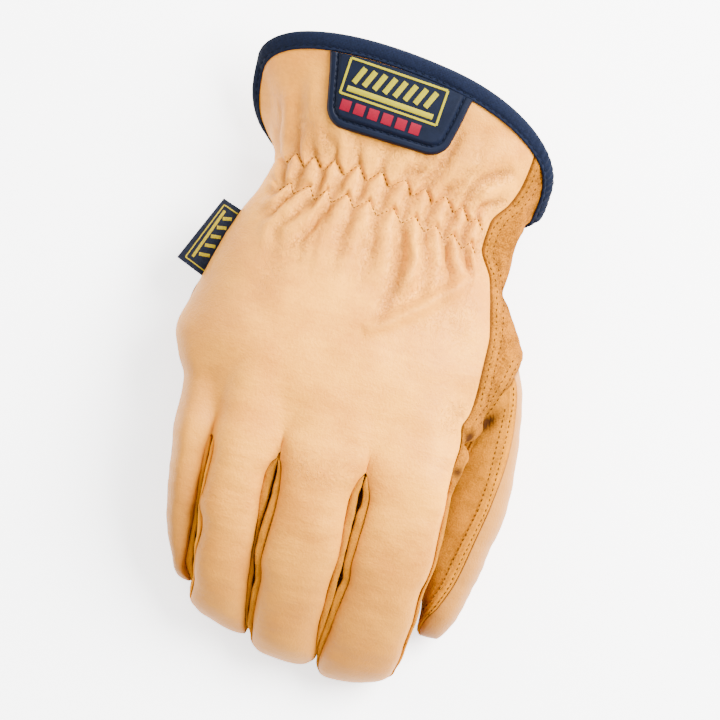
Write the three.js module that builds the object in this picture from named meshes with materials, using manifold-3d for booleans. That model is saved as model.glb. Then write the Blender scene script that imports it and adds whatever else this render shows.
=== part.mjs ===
// Leather driver glove for the right hand, lying palm down. Millimetres, +Z up.
// The fingers point along -Y, the thumb lies on the +X side and the cuff opens towards +Y.
import * as THREE from "three";
import { mergeVertices } from "three/addons/utils/BufferGeometryUtils.js";
import Module from "manifold-3d";

const wasm = await Module();
wasm.setup();

// Leather and seams
const LEATHER = 1.6;
const SEAM_GAP = 0.3;
const FLOOR = 0;

// Middle of the outline seen from above
const CENTRE = { x: -2.35, y: -1.17 };

// Roundness of the cross-sections: 2 is an ellipse, more is squarer
const BACK_ROUND = 2.1;
const PALM_ROUND = 2.7;
const FINGER_ROUND = 2.2;
const THUMB_ROUND = 2.15;

// The hand from the cuff's edge to the finger roots, a row for each section.
// left and right are the sides, back and palm the heights, and ulnar and radial the heights of the sides.
// crown is the highest line of the back. ring, middle, index and seam are where the leather of those
// fingers begins and where the back leather ends. A section leans: the back is leanBack further up the arm
// than the sides, and the palm leanPalm. skew turns it about Z.
const HAND = [
  { y: 82.7, left: -57.6, right: 51.2, crown: 8, back: 45, palm: 1.3, ulnar: 23, radial: 25,
    ring: -31, middle: -6, index: 20, seam: 44, leanBack: 22, leanPalm: -26, skew: -0.179 },
  { y: 76, left: -55.4, right: 50.2, crown: 7, back: 44, palm: 1.5, ulnar: 22, radial: 25,
    ring: -30, middle: -6, index: 18.5, seam: 43.4, leanBack: 18.5, leanPalm: -22, skew: -0.165 },
  { y: 69.5, left: -52.4, right: 47.9, crown: 5, back: 42.5, palm: 2, ulnar: 21.5, radial: 24.5,
    ring: -28.5, middle: -6, index: 17, seam: 42, leanBack: 15, leanPalm: -18, skew: -0.145 },
  { y: 63, left: -49, right: 46, crown: 4, back: 41, palm: 2.5, ulnar: 21, radial: 24,
    ring: -27, middle: -5.5, index: 15.5, seam: 39.3, leanBack: 11.5, leanPalm: -14, skew: -0.12 },
  { y: 55.5, left: -45.3, right: 45.3, crown: 3, back: 39.5, palm: 3, ulnar: 20, radial: 23.5,
    ring: -26, middle: -5.5, index: 14.5, seam: 34.5, leanBack: 8, leanPalm: -10.5, skew: -0.1 },
  { y: 46.5, left: -47.2, right: 45, crown: 2, back: 40.5, palm: 2.2, ulnar: 20, radial: 23,
    ring: -27, middle: -6, index: 14, seam: 33.8, leanBack: 7.3, leanPalm: -8, skew: -0.09 },
  { y: 38.5, left: -51.2, right: 44.8, crown: 2, back: 42.5, palm: 1.2, ulnar: 20.3, radial: 23,
    ring: -29, middle: -7.3, index: 14, seam: 39, leanBack: 6, leanPalm: -6.5, skew: -0.075 },
  { y: 33, left: -53.4, right: 47.8, crown: 2, back: 44, palm: 0.4, ulnar: 20.6, radial: 23,
    ring: -31, middle: -8.8, index: 14, seam: 40.6, leanBack: 5, leanPalm: -5.5, skew: -0.06 },
  { y: 27, left: -55.6, right: 51.6, crown: 2, back: 46, palm: -0.6, ulnar: 21, radial: 23,
    ring: -33, middle: -10.5, index: 14, seam: 42.1, leanBack: 3.3, leanPalm: -4, skew: -0.045 },
  { y: 17, left: -58.8, right: 56, crown: 3, back: 48.5, palm: -1.5, ulnar: 21.5, radial: 23,
    ring: -36, middle: -13, index: 14, seam: 44.1, leanBack: 1, leanPalm: -2, skew: -0.02 },
  { y: 6, left: -61.9, right: 56.5, crown: 3, back: 50, palm: -1, ulnar: 22, radial: 23.5,
    ring: -39.5, middle: -15, index: 13.8, seam: 44.2, leanBack: 0, leanPalm: 0, skew: 0 },
  { y: -4, left: -64.4, right: 51, crown: 4, back: 51, palm: 2, ulnar: 22.5, radial: 24.5,
    ring: -42, middle: -16.5, index: 13.5, seam: 44.4, leanBack: 0, leanPalm: 0, skew: 0 },
  { y: -13, left: -62.8, right: 48, crown: 4, back: 51.5, palm: 6, ulnar: 23, radial: 26,
    ring: -43, middle: -17.2, index: 13.2, seam: 43.5, leanBack: 0, leanPalm: -1, skew: 0 },
  { y: -21, left: -57.5, right: 46.5, crown: 4, back: 51.5, palm: 9, ulnar: 23, radial: 27.5,
    ring: -43, middle: -17.5, index: 13.1, seam: 42.8, leanBack: 0, leanPalm: -3, skew: 0 },
  { y: -29, left: -56.2, right: 46, crown: 4, back: 51, palm: 11.5, ulnar: 22.8, radial: 29,
    ring: -42.6, middle: -17.5, index: 13, seam: 42.4, leanBack: 0, leanPalm: -5, skew: 0 },
  { y: -37, left: -56.4, right: 45.6, crown: 4, back: 50, palm: 13.5, ulnar: 22.5, radial: 30,
    ring: -42, middle: -17.5, index: 13, seam: 42.4, leanBack: 0, leanPalm: -7, skew: 0 },
];
const CUFF_EDGE = HAND[0].y;
const FINGER_ROOT = HAND[HAND.length - 1].y;
const KNUCKLE_START = 4;
const HAND_ROWS = [
  82.7, 77, 71.5, 66, 60.5, 55, 50.75, 46.5, 42, 37, 31.5, 24, 14, 4, -5, -13, -20.5, -29, -37,
];
const PALM_TURN = 0.35;

// The four fingers, a row for each section from root (at 0) to tip (at 1).
// left and right are the edges of the back leather. top, low and the edges' heights are measured from the
// finger's centre line, square to it. bulge is how far the left and right side walls swell, and tilt turns
// the tip about Z.
const FINGERS = {
  pinky: {
    reach: 54.5, rootHeight: 24, slopeStart: 0, slopeEnd: 34, tilt: -0.35, bulge: [0, 0.5],
    sections: [
      { at: 0, left: -56.4, right: -42, top: 15.5, low: -13, leftTop: 0, leftLow: 0, rightTop: 12.5, rightLow: -8.5 },
      { at: 0.12, left: -55.3, right: -42.6, top: 14, low: -12, leftTop: 0, leftLow: 0, rightTop: 10.5, rightLow: -7 },
      { at: 0.4, left: -53.4, right: -41.6, top: 12.5, low: -11.5, leftTop: 0, leftLow: 0, rightTop: 7.5, rightLow: -6.5 },
      { at: 0.65, left: -50.3, right: -40.3, top: 11.5, low: -11, leftTop: 0, leftLow: 0, rightTop: 6.5, rightLow: -6 },
      { at: 0.85, left: -46.3, right: -38.6, top: 10.7, low: -10.5, leftTop: 0, leftLow: 0, rightTop: 5.5, rightLow: -5.5 },
      { at: 1, left: -44.6, right: -36.4, top: 10, low: -10, leftTop: 0, leftLow: 0, rightTop: 5, rightLow: -5 },
    ],
  },
  ring: {
    reach: 69, rootHeight: 30, slopeStart: 0, slopeEnd: 38, tilt: -0.28, bulge: [0.5, 1.6],
    sections: [
      { at: 0, left: -42, right: -17.5, top: 17.5, low: -15.5, leftTop: 6.5, leftLow: -14.5, rightTop: 14.5, rightLow: -13 },
      { at: 0.12, left: -40.6, right: -20, top: 15.5, low: -14, leftTop: 7, leftLow: -9.5, rightTop: 10, rightLow: -9 },
      { at: 0.4, left: -38.9, right: -19.4, top: 13.5, low: -12.5, leftTop: 7.5, leftLow: -7, rightTop: 8, rightLow: -7 },
      { at: 0.7, left: -36.6, right: -17.4, top: 12.5, low: -12, leftTop: 6.5, leftLow: -6, rightTop: 6.5, rightLow: -6 },
      { at: 1, left: -34.5, right: -12.6, top: 11, low: -11, leftTop: 5, leftLow: -5, rightTop: 5, rightLow: -5 },
    ],
  },
  middle: {
    reach: 77, rootHeight: 32.5, slopeStart: 0, slopeEnd: 40, tilt: -0.06, bulge: [1.6, 1.9],
    sections: [
      { at: 0, left: -17.5, right: 13, top: 17.5, low: -17, leftTop: 12, leftLow: -15.5, rightTop: 13.5, rightLow: -15 },
      { at: 0.12, left: -15, right: 10.4, top: 16, low: -15, leftTop: 9.5, leftLow: -10, rightTop: 10.5, rightLow: -10 },
      { at: 0.4, left: -14.8, right: 10.7, top: 14.5, low: -13.5, leftTop: 8, leftLow: -7.5, rightTop: 8.5, rightLow: -7.5 },
      { at: 0.7, left: -12.9, right: 10.3, top: 13, low: -12.5, leftTop: 6.5, leftLow: -6.5, rightTop: 7, rightLow: -6.5 },
      { at: 1, left: -11.2, right: 11.4, top: 11.5, low: -11.5, leftTop: 5, leftLow: -5, rightTop: 5, rightLow: -5 },
    ],
  },
  index: {
    reach: 79, rootHeight: 32, slopeStart: 0, slopeEnd: 40, tilt: 0.16, bulge: [1.9, 2.6],
    sections: [
      { at: 0, left: 13, right: 42.4, top: 17, low: -16, leftTop: 14, leftLow: -14.5, rightTop: 11, rightLow: -9 },
      { at: 0.12, left: 16.4, right: 42.7, top: 15.5, low: -14.5, leftTop: 11, leftLow: -9.5, rightTop: 9.5, rightLow: -8.5 },
      { at: 0.4, left: 15.9, right: 43, top: 14, low: -13, leftTop: 8.5, leftLow: -7.5, rightTop: 8.5, rightLow: -8 },
      { at: 0.7, left: 14.2, right: 41.2, top: 13, low: -12.5, leftTop: 7, leftLow: -6.5, rightTop: 7.5, rightLow: -7.5 },
      { at: 1, left: 13, right: 37.4, top: 11.5, low: -11.5, leftTop: 5, leftLow: -5, rightTop: 5, rightLow: -5 },
    ],
  },
};
const FINGER_NAMES = Object.keys(FINGERS);
const FINGER_ROWS = [0, 0.05, 0.14, 0.28, 0.44, 0.6, 0.74, 0.86, 0.94, 0.985, 1];
const BACK_COLUMNS = [10, 10, 10, 10];
const PALM_COLUMNS = [6, 3, 3, 4];
const SIDE_COLUMNS = 8;
const GUSSET_COLUMNS = 3;
const CROTCH_LIFT = 1.5;
const TIP_START = 0.8;
const TIP_WIDTH = 0.66;
const TIP_SEAM = 0.04;

// The thumb from inside the hand to its tip. half and tall are half its width and height.
// seam and under are the angles where the grain leather meets the suede, on top and below.
const THUMB = [
  { y: 24, x: 39, z: 22, half: 8, tall: 10, seam: 40, under: 262 },
  { y: 13, x: 45.2, z: 20.5, half: 10, tall: 12, seam: 42, under: 262 },
  { y: 3, x: 49.8, z: 18.5, half: 10.4, tall: 13, seam: 42, under: 262 },
  { y: -8, x: 52, z: 16, half: 10.2, tall: 13, seam: 42, under: 260 },
  { y: -22, x: 54, z: 13.8, half: 10, tall: 12.8, seam: 52, under: 258 },
  { y: -38, x: 55.1, z: 12.4, half: 9.9, tall: 12.4, seam: 70, under: 255 },
  { y: -52, x: 54.1, z: 11.6, half: 9, tall: 12, seam: 78, under: 252 },
  { y: -66, x: 52.5, z: 10.8, half: 7.9, tall: 11.4, seam: 84, under: 245 },
  { y: -77, x: 50.9, z: 10, half: 7, tall: 10.4, seam: 100, under: 230 },
  { y: -84, x: 49.8, z: 9.4, half: 6.2, tall: 9.6, seam: 135, under: 200 },
  { y: -89, x: 48.8, z: 9, half: 5.6, tall: 9, seam: 164, under: 172 },
];
const THUMB_ROWS = [24, 12, 2, -9, -22, -36, -50, -62, -72, -79, -84, -87, -88.6];
const THUMB_TIP = { start: -76, end: -89 };
const THUMB_BACK_COLUMNS = 9;
const THUMB_FRONT_COLUMNS = 9;
const THUMB_FRONT_END = -88;

// Elastic gathers at the wrist
const GATHER_COUNT = 10;
const GATHER_HEIGHT = 1.7;
const GATHER_ROWS = { upper: 55, lower: 46.5 };
const GATHER_FADE = { start: 64, full: 55, end: 24 };

// Cuff binding, a folded band over the leather's edge
const BAND = { depth: 5, thick: 1, gap: 0.35, lift: 1.4, stations: 40 };

// Label patch, a moulded rubber trapezium with round lower corners
const PATCH = { top: 101, bottom: 77.6, topLeft: -34.6, topRight: 18, bottomLeft: -30.5, bottomRight: 12.5 };
const PATCH_ROUND = 6.5;
const PATCH_THICK = 1.6;
const PATCH_RIM = 0.5;
const PATCH_TILT = -0.11;
const PATCH_LIFT = 0.45;

// Side tag, a folded woven ribbon held in the little-finger seam
const TAG = { upper: 37, lower: 15, outer: [{ x: -58.5, y: 44 }, { x: -69.5, y: 20 }], thick: 1.1 };

// Value of a table's column between its rows, on a smooth curve that doesn't overshoot
function lookUp(table, key, column, at) {
  const rising = table[1][key] > table[0][key];
  const last = table.length - 1;
  let i = 0;
  while (i < last - 1 && (rising ? at > table[i + 1][key] : at < table[i + 1][key])) i++;
  const slope = (k) => (table[k + 1][column] - table[k][column]) / (table[k + 1][key] - table[k][key]);
  const tangent = (k) => {
    if (k === 0) return slope(0);
    if (k === last) return slope(last - 1);
    const before = slope(k - 1);
    const after = slope(k);
    return before * after <= 0 ? 0 : (2 * before * after) / (before + after);
  };
  const span = table[i + 1][key] - table[i][key];
  const u = THREE.MathUtils.clamp((at - table[i][key]) / span, 0, 1);
  const u2 = u * u;
  const u3 = u2 * u;
  return (
    (2 * u3 - 3 * u2 + 1) * table[i][column] +
    (u3 - 2 * u2 + u) * span * tangent(i) +
    (3 * u2 - 2 * u3) * table[i + 1][column] +
    (u3 - u2) * span * tangent(i + 1)
  );
}

const row = (table, key, at) =>
  Object.fromEntries(Object.keys(table[0]).map((column) => [column, lookUp(table, key, column, at)]));

const total = (counts) => counts.reduce((sum, n) => sum + n, 0);

const signedPower = (value, power) => Math.sign(value) * Math.abs(value) ** power;

const onFloor = (point, inset) => {
  point.z = Math.max(point.z, FLOOR + Math.max(inset, 0));
  return point;
};

// Puckers of the back leather where the elastic pulls it in. across runs from 0 to 1 over the back.
function gather(station, across) {
  const rise = THREE.MathUtils.smoothstep(GATHER_FADE.start - station, 0, GATHER_FADE.start - GATHER_FADE.full);
  const fall = THREE.MathUtils.smoothstep(station, GATHER_FADE.end, GATHER_ROWS.lower);
  const pinch = Math.cos((Math.PI * (station - GATHER_ROWS.lower)) / (GATHER_ROWS.upper - GATHER_ROWS.lower));
  const puff = rise * fall * (1 - 0.3 * pinch * pinch);
  const edges = THREE.MathUtils.smoothstep(Math.min(across, 1 - across), 0, 0.06);
  return GATHER_HEIGHT * puff * edges * (0.3 - Math.cos(2 * Math.PI * GATHER_COUNT * across));
}

// A point of the hand's skin. The angle is 180 degrees at the little finger's side, 90 over the back,
// 0 at the thumb's side and 270 under the palm. across is given on the back alone.
function handPoint(station, degrees, inset, across) {
  const s = row(HAND, "y", station);
  const angle = THREE.MathUtils.degToRad(degrees);
  const c = Math.cos(angle);
  const sine = Math.sin(angle);
  const power = 2 / (sine >= 0 ? BACK_ROUND : PALM_ROUND);
  const sideways = signedPower(c, power);
  const upwards = signedPower(sine, power);
  const half = c > 0 ? s.right - inset - s.crown : s.crown - s.left - inset;
  const side = s.ulnar + (s.radial - s.ulnar) * (0.5 + 0.5 * sideways);
  const tall = sine >= 0 ? s.back - inset - side : side - s.palm - inset;
  const x = s.crown + half * sideways;
  const under = Math.max(-upwards, 0) * (1.4 + 0.4 * Math.min(upwards, 0));
  const turn = s.skew * (x - s.crown) * (1 - PALM_TURN * under);
  const y = station + turn + s.leanBack * Math.max(upwards, 0) + s.leanPalm * under;
  const bump = across === undefined ? 0 : gather(station, across);
  return onFloor(new THREE.Vector3(x, y, side + tall * upwards + bump), inset);
}

// The angle on the back at which the section reaches a given x
function backAngle(station, x) {
  const s = row(HAND, "y", station);
  const half = x > s.crown ? s.right - s.crown : s.crown - s.left;
  const sideways = THREE.MathUtils.clamp((x - s.crown) / half, -1, 1);
  return THREE.MathUtils.radToDeg(Math.acos(signedPower(sideways, BACK_ROUND / 2)));
}

// The angle under the palm at which the section reaches a given x
function palmAngle(station, x) {
  const s = row(HAND, "y", station);
  const half = x > s.crown ? s.right - s.crown : s.crown - s.left;
  const sideways = THREE.MathUtils.clamp((x - s.crown) / half, -1, 1);
  return 360 - THREE.MathUtils.radToDeg(Math.acos(signedPower(sideways, PALM_ROUND / 2)));
}

// The x of the strip of leather that runs on into one finger, on the back of the hand
function strip(station, finger) {
  const s = row(HAND, "y", station);
  return [s.left, s.ring, s.middle, s.index, s.seam].slice(finger, finger + 2);
}

// How far a finger's tip has closed, as shares of its width and height
function tipShape(at) {
  const end = THREE.MathUtils.clamp((at - TIP_START) / (1 - TIP_START), 0, 1);
  return {
    width: TIP_WIDTH + (1 - TIP_WIDTH) * (1 - end ** 2.6) ** 0.5,
    height: TIP_SEAM + (1 - TIP_SEAM) * (1 - end ** 2) ** 0.5,
  };
}

// The outline of a finger's section in its own plane: [x, height above the centre line]
function fingerOutline(name, at, side, across, inset) {
  const s = row(FINGERS[name].sections, "at", at);
  const tip = tipShape(at);
  const middle = (s.left + s.right) / 2;
  const half = ((s.right - s.left) / 2) * tip.width - inset;
  if (side === "back" || side === "palm") {
    const sign = side === "back" ? 1 : -1;
    const first = across < 0.5;
    const crest = (side === "back" ? s.top : s.low) - sign * inset;
    const level = side === "back" ? (first ? s.leftTop : s.rightTop) : first ? s.leftLow : s.rightLow;
    const edge = level - (name === "pinky" && first ? 0 : sign * inset);
    const angle = Math.PI * (1 - across);
    const power = 2 / FINGER_ROUND;
    return [
      middle + half * signedPower(Math.cos(angle), power),
      (edge + (crest - edge) * Math.abs(Math.sin(angle)) ** power) * tip.height,
    ];
  }
  const right = side === "right";
  const top = ((right ? s.rightTop : s.leftTop) - inset) * tip.height;
  const low = ((right ? s.rightLow : s.leftLow) + inset) * tip.height;
  const opened = name === "index" && right ? 1 : Math.min(1, at / 0.05);
  const swell = FINGERS[name].bulge[right ? 1 : 0] * opened * (1 - at) ** 0.8;
  return [middle + (right ? 1 : -1) * (half + swell * Math.sin(Math.PI * across) ** 0.7), top + (low - top) * across];
}

// Centre line of a finger: it slopes down more and more towards the tip
const LINE_STEPS = 60;
function centreLine(name, inset) {
  const finger = FINGERS[name];
  const step = (finger.reach - inset) / LINE_STEPS;
  const points = [];
  let y = FINGER_ROOT;
  let z = finger.rootHeight;
  for (let i = 0; i <= LINE_STEPS; i++) {
    const share = i / LINE_STEPS;
    const slope = finger.slopeStart + (finger.slopeEnd - finger.slopeStart) * share ** 0.8;
    const angle = THREE.MathUtils.degToRad(slope);
    points.push({ share, y, z, angle });
    y -= step * Math.cos(angle);
    z -= step * Math.sin(angle);
  }
  return points;
}

const lines = new Map();
function linePoint(name, at, inset) {
  const key = name + inset;
  if (!lines.has(key)) lines.set(key, centreLine(name, inset));
  const line = lines.get(key);
  const position = at * LINE_STEPS;
  const i = Math.min(Math.floor(position), LINE_STEPS - 1);
  const mix = (column) => THREE.MathUtils.lerp(line[i][column], line[i + 1][column], position - i);
  return { y: mix("y"), z: mix("z"), angle: mix("angle") };
}

// A point of a finger's skin. side is back, palm, left or right, and across runs over it from 0 to 1.
function fingerPoint(name, at, side, across, inset) {
  const [x, height] = fingerOutline(name, at, side, across, inset);
  const line = linePoint(name, at, inset);
  const web = HAND[HAND.length - 1].leanPalm * (1 - THREE.MathUtils.smoothstep(at, 0, 0.4));
  const share = THREE.MathUtils.clamp(-height / 17, 0, 1);
  const s = row(FINGERS[name].sections, "at", at);
  const turn = FINGERS[name].tilt * (x - (s.left + s.right) / 2) * at ** 3;
  const point = new THREE.Vector3(
    x,
    line.y - height * Math.sin(line.angle) + web * share + turn,
    line.z + height * Math.cos(line.angle),
  );
  return onFloor(point, inset);
}

// Rows of outer points with the inner points behind them
const grid = (rows, columns, point) => {
  const face = (inset) => rows.map((r) => Array.from({ length: columns + 1 }, (_, c) => point(r, c, inset)));
  return { outer: face(0), inner: face(LEATHER) };
};

// Draws a grid's first or last column, or its root or end row, back from a seam by half the seam's gap
function trim(sheet, { first = false, last = false, root = false, end = false, skipRows = 0 }) {
  const back = (from, to) => {
    const step = to.clone().sub(from);
    return from.clone().addScaledVector(step, Math.min(0.45, SEAM_GAP / 2 / Math.max(step.length(), 1e-6)));
  };
  for (const face of [sheet.outer, sheet.inner]) {
    face.forEach((points, r) => {
      if (r < skipRows) return;
      const n = points.length - 1;
      if (first) points[0] = back(points[0], points[1]);
      if (last) points[n] = back(points[n], points[n - 1]);
    });
    if (root) face[0] = face[0].map((p, c) => back(p, face[1][c]));
    if (end) {
      const n = face.length - 1;
      face[n] = face[n].map((p, c) => back(p, face[n - 1][c]));
    }
  }
  return sheet;
}

// Closes a grid into a wall with a border, as a BufferGeometry
function leatherWall(sheet) {
  const index = new Map();
  const outer = [];
  const inner = [];
  const weld = (o, i) => {
    const key = [o.x, o.y, o.z].map((v) => Math.round(v * 200)).join();
    if (!index.has(key)) {
      index.set(key, outer.length);
      outer.push(o);
      inner.push(i);
    }
    return index.get(key);
  };
  const faces = [];
  const ids = sheet.outer.map((points, r) => points.map((p, c) => weld(p, sheet.inner[r][c])));
  for (let r = 0; r + 1 < ids.length; r++)
    for (let c = 0; c + 1 < ids[r].length; c++)
      faces.push([ids[r][c], ids[r + 1][c], ids[r + 1][c + 1]], [ids[r][c], ids[r + 1][c + 1], ids[r][c + 1]]);
  const solid = faces.filter(([a, b, c]) => a !== b && b !== c && c !== a);
  const edges = new Set(solid.flatMap(([a, b, c]) => [a + "," + b, b + "," + c, c + "," + a]));
  const count = outer.length;
  const triangles = [];
  for (const [a, b, c] of solid) {
    triangles.push(a, b, c, a + count, c + count, b + count);
    for (const [from, to] of [[a, b], [b, c], [c, a]]) {
      if (edges.has(to + "," + from)) continue;
      // Both sides of a seam have their border's diagonals the same way round
      if (outer[from].x < outer[to].x) triangles.push(to, from, from + count, to, from + count, to + count);
      else triangles.push(to, from, to + count, from, from + count, to + count);
    }
  }
  return closedGeometry([...outer, ...inner], triangles);
}

// A BufferGeometry from points and triangles, with its faces turned outwards
function closedGeometry(points, triangles) {
  let volume = 0;
  for (let i = 0; i < triangles.length; i += 3) {
    const [a, b, c] = triangles.slice(i, i + 3).map((k) => points[k]);
    volume += a.dot(b.clone().cross(c)) / 6;
  }
  const ordered = volume > 0 ? triangles : triangles.slice().reverse();
  const geometry = new THREE.BufferGeometry().setFromPoints(points);
  geometry.setIndex(ordered);
  return geometry;
}

// Booleans
function toSolid(geometry) {
  const bare = new THREE.BufferGeometry().setAttribute("position", geometry.getAttribute("position"));
  bare.setIndex(geometry.index);
  const merged = mergeVertices(bare, 1e-4);
  const mesh = new wasm.Mesh({
    numProp: 3,
    vertProperties: new Float32Array(merged.attributes.position.array),
    triVerts: new Uint32Array(merged.index.array),
  });
  return new wasm.Manifold(mesh);
}

function toGeometry(solid) {
  const pieces = solid.decompose().sort((a, b) => b.volume() - a.volume());
  const mesh = pieces[0].getMesh();
  const geometry = new THREE.BufferGeometry();
  geometry.setAttribute("position", new THREE.BufferAttribute(mesh.vertProperties, 3));
  geometry.setIndex(new THREE.BufferAttribute(mesh.triVerts, 1));
  return geometry;
}

const cut = (geometry, tool) => toGeometry(toSolid(geometry).subtract(toSolid(tool)));

// A closed solid through rings of points, with flat ends
function loftedVolume(rings) {
  const count = rings[0].length;
  const points = rings.flat();
  const triangles = [];
  for (let r = 0; r + 1 < rings.length; r++)
    for (let c = 0; c < count; c++) {
      const a = r * count + c;
      const b = r * count + ((c + 1) % count);
      triangles.push(a, b, b + count, a, b + count, a + count);
    }
  const capAt = (start, flip) => {
    for (let c = 1; c + 1 < count; c++)
      triangles.push(start, ...(flip ? [start + c, start + c + 1] : [start + c + 1, start + c]));
  };
  capAt(0, false);
  capAt((rings.length - 1) * count, true);
  return closedGeometry(points, triangles);
}

// How much of a section near the knuckles already has the fingers' own shape
const knuckle = (station) => THREE.MathUtils.smoothstep(KNUCKLE_START - station, 0, KNUCKLE_START - FINGER_ROOT);

// Which finger a column belongs to, and how far over it the column lies
function columnPlace(columns, column) {
  let finger = 0;
  let first = 0;
  while (finger < 3 && column >= first + columns[finger]) first += columns[finger++];
  return { finger, across: (column - first) / columns[finger] };
}

// A point at a finger's root. Between two fingers both meet, and the inner skin is mitred for the gusset.
function rootPoint(station, side, { finger, across }, inset) {
  const between = across === 0 && finger > 0;
  const point = fingerPoint(FINGER_NAMES[finger], 0, side, across, between ? 0 : inset);
  if (between) point.add(new THREE.Vector3(0, inset, side === "back" ? -inset : inset));
  point.y += station - FINGER_ROOT;
  return point;
}

// A point of the back leather over the hand. Columns count from the little finger's side.
function backPoint(station, column, inset) {
  const place = columnPlace(BACK_COLUMNS, column);
  const [from, to] = strip(station, place.finger).map((x) => backAngle(station, x));
  const angle = THREE.MathUtils.lerp(from, to, place.across);
  const hand = handPoint(station, angle, inset, column / total(BACK_COLUMNS));
  return hand.lerp(rootPoint(station, "back", place, inset), knuckle(station));
}

// A point of the palm leather: four strips under the hand, then the side up to the thumb-side seam
function palmPoint(station, column, inset) {
  const side = column - total(PALM_COLUMNS);
  const corner = palmAngle(station, lookUp(HAND, "y", "right", station) - 12);
  if (side > 0) {
    const seam = 360 + backAngle(station, lookUp(HAND, "y", "seam", station));
    const hand = handPoint(station, THREE.MathUtils.lerp(corner, seam, side / SIDE_COLUMNS), inset);
    const own = fingerPoint("index", 0, "right", 1 - side / SIDE_COLUMNS, inset);
    own.y += station - FINGER_ROOT;
    return hand.lerp(own, knuckle(station));
  }
  const place = columnPlace(PALM_COLUMNS, column);
  const [left, right] = strip(station, place.finger);
  const from = place.finger === 0 ? 180 : palmAngle(station, left);
  const to = place.finger === 3 ? corner : palmAngle(station, right);
  const hand = handPoint(station, THREE.MathUtils.lerp(from, to, place.across), inset);
  return hand.lerp(rootPoint(station, "palm", place, inset), knuckle(station));
}

// The leather of the hand and of its four fingers, as solids of their own. The fingers' first rows are the
// hand's last one, less the seam's gap.
function panel(columns, sideColumns, handRowPoint, fingerRowPoint) {
  const hand = trim(grid(HAND_ROWS, total(columns) + sideColumns, handRowPoint), { first: true, last: true });
  let start = 0;
  const fingers = FINGER_NAMES.map((name, f) => {
    const count = columns[f] + (f === 3 ? sideColumns : 0);
    const sheet = grid(FINGER_ROWS, count, (at, c, inset) => fingerRowPoint(name, at, c, columns[f], inset));
    trim(sheet, { first: true, last: true, end: true, skipRows: 1 });
    for (const face of ["outer", "inner"]) sheet[face][0] = hand[face].at(-1).slice(start, start + count + 1);
    start += columns[f];
    return leatherWall(trim(sheet, { root: true }));
  });
  return { hand: leatherWall(trim(hand, { end: true })), fingers };
}

const backPanel = () =>
  panel(BACK_COLUMNS, 0, backPoint, (name, at, c, count, inset) => fingerPoint(name, at, "back", c / count, inset));

const palmPanel = () =>
  panel(PALM_COLUMNS, SIDE_COLUMNS, palmPoint, (name, at, c, count, inset) =>
    c > count
      ? fingerPoint(name, at, "right", 1 - (c - count) / SIDE_COLUMNS, inset)
      : fingerPoint(name, at, "palm", c / count, inset),
  );

// A gusset between two fingers: down one finger's side from the tip, round the crotch, and up the other's
function gusset(leftFinger, rightFinger) {
  const rows = FINGER_ROWS.slice(1, -1);
  const path = [
    ...rows.slice().reverse().map((at) => ({ name: leftFinger, side: "right", at })),
    { crotch: true },
    ...rows.map((at) => ({ name: rightFinger, side: "left", at })),
  ];
  const sheet = grid(path, GUSSET_COLUMNS, (step, c, inset) => {
    const across = c / GUSSET_COLUMNS;
    if (!step.crotch) return fingerPoint(step.name, step.at, step.side, across, inset);
    const top = fingerPoint(rightFinger, 0, "left", 0, 0);
    const low = fingerPoint(rightFinger, 0, "left", 1, 0);
    top.z -= SEAM_GAP + inset;
    low.z += CROTCH_LIFT + inset;
    const point = top.lerp(low, across);
    point.y += inset;
    return point;
  });
  return leatherWall(trim(sheet, { first: true, last: true }));
}

// A point of the thumb's skin. The angle is 0 on the outer side and 90 on top.
function thumbPoint(station, degrees, inset) {
  const s = row(THUMB, "y", station);
  const end = THREE.MathUtils.clamp((THUMB_TIP.start - station) / (THUMB_TIP.start - THUMB_TIP.end), 0, 1);
  const width = 0.42 + 0.58 * Math.sqrt(1 - end ** 2.6);
  const height = TIP_SEAM + (1 - TIP_SEAM) * Math.sqrt(1 - end ** 2);
  const angle = THREE.MathUtils.degToRad(degrees);
  const power = 2 / THUMB_ROUND;
  const y = Math.max(station, THUMB_TIP.end + inset);
  const point = new THREE.Vector3(
    s.x + (s.half * width - inset) * signedPower(Math.cos(angle), power),
    y,
    s.z + (s.tall - inset) * height * signedPower(Math.sin(angle), power),
  );
  return onFloor(point, inset);
}

function thumbSheet(rows, columns, from, to) {
  const sheet = grid(rows, columns, (station, c, inset) => {
    const s = row(THUMB, "y", station);
    return thumbPoint(station, THREE.MathUtils.lerp(from(s), to(s), c / columns), inset);
  });
  return leatherWall(trim(sheet, { first: true, last: true }));
}

const thumbBackWall = () => thumbSheet(THUMB_ROWS, THUMB_BACK_COLUMNS, (s) => s.seam, (s) => s.under - 360);
const thumbFrontWall = () =>
  thumbSheet(
    THUMB_ROWS.filter((y) => y > THUMB_FRONT_END),
    THUMB_FRONT_COLUMNS,
    (s) => s.seam,
    (s) => s.under,
  );

// The space inside the hand's skin, grown by the seam's gap, to trim the thumb's pieces
function handVolume() {
  const around = 48;
  const rows = HAND_ROWS.filter((y) => y < 60);
  return loftedVolume(
    rows.map((station) =>
      Array.from({ length: around }, (_, c) => {
        const column = c / around;
        const back = column < 0.5;
        const degrees = back ? 180 - 360 * column : 360 - 360 * (column - 0.5);
        return handPoint(station, degrees, -SEAM_GAP);
      }),
    ),
  );
}

// The space inside the thumb's skin, grown by the seam's gap, to open the palm for it
function thumbVolume() {
  const around = 24;
  return loftedVolume(
    THUMB_ROWS.slice(0, -2).map((station) =>
      Array.from({ length: around }, (_, c) => thumbPoint(station, (360 * c) / around, -SEAM_GAP)),
    ),
  );
}

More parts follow.
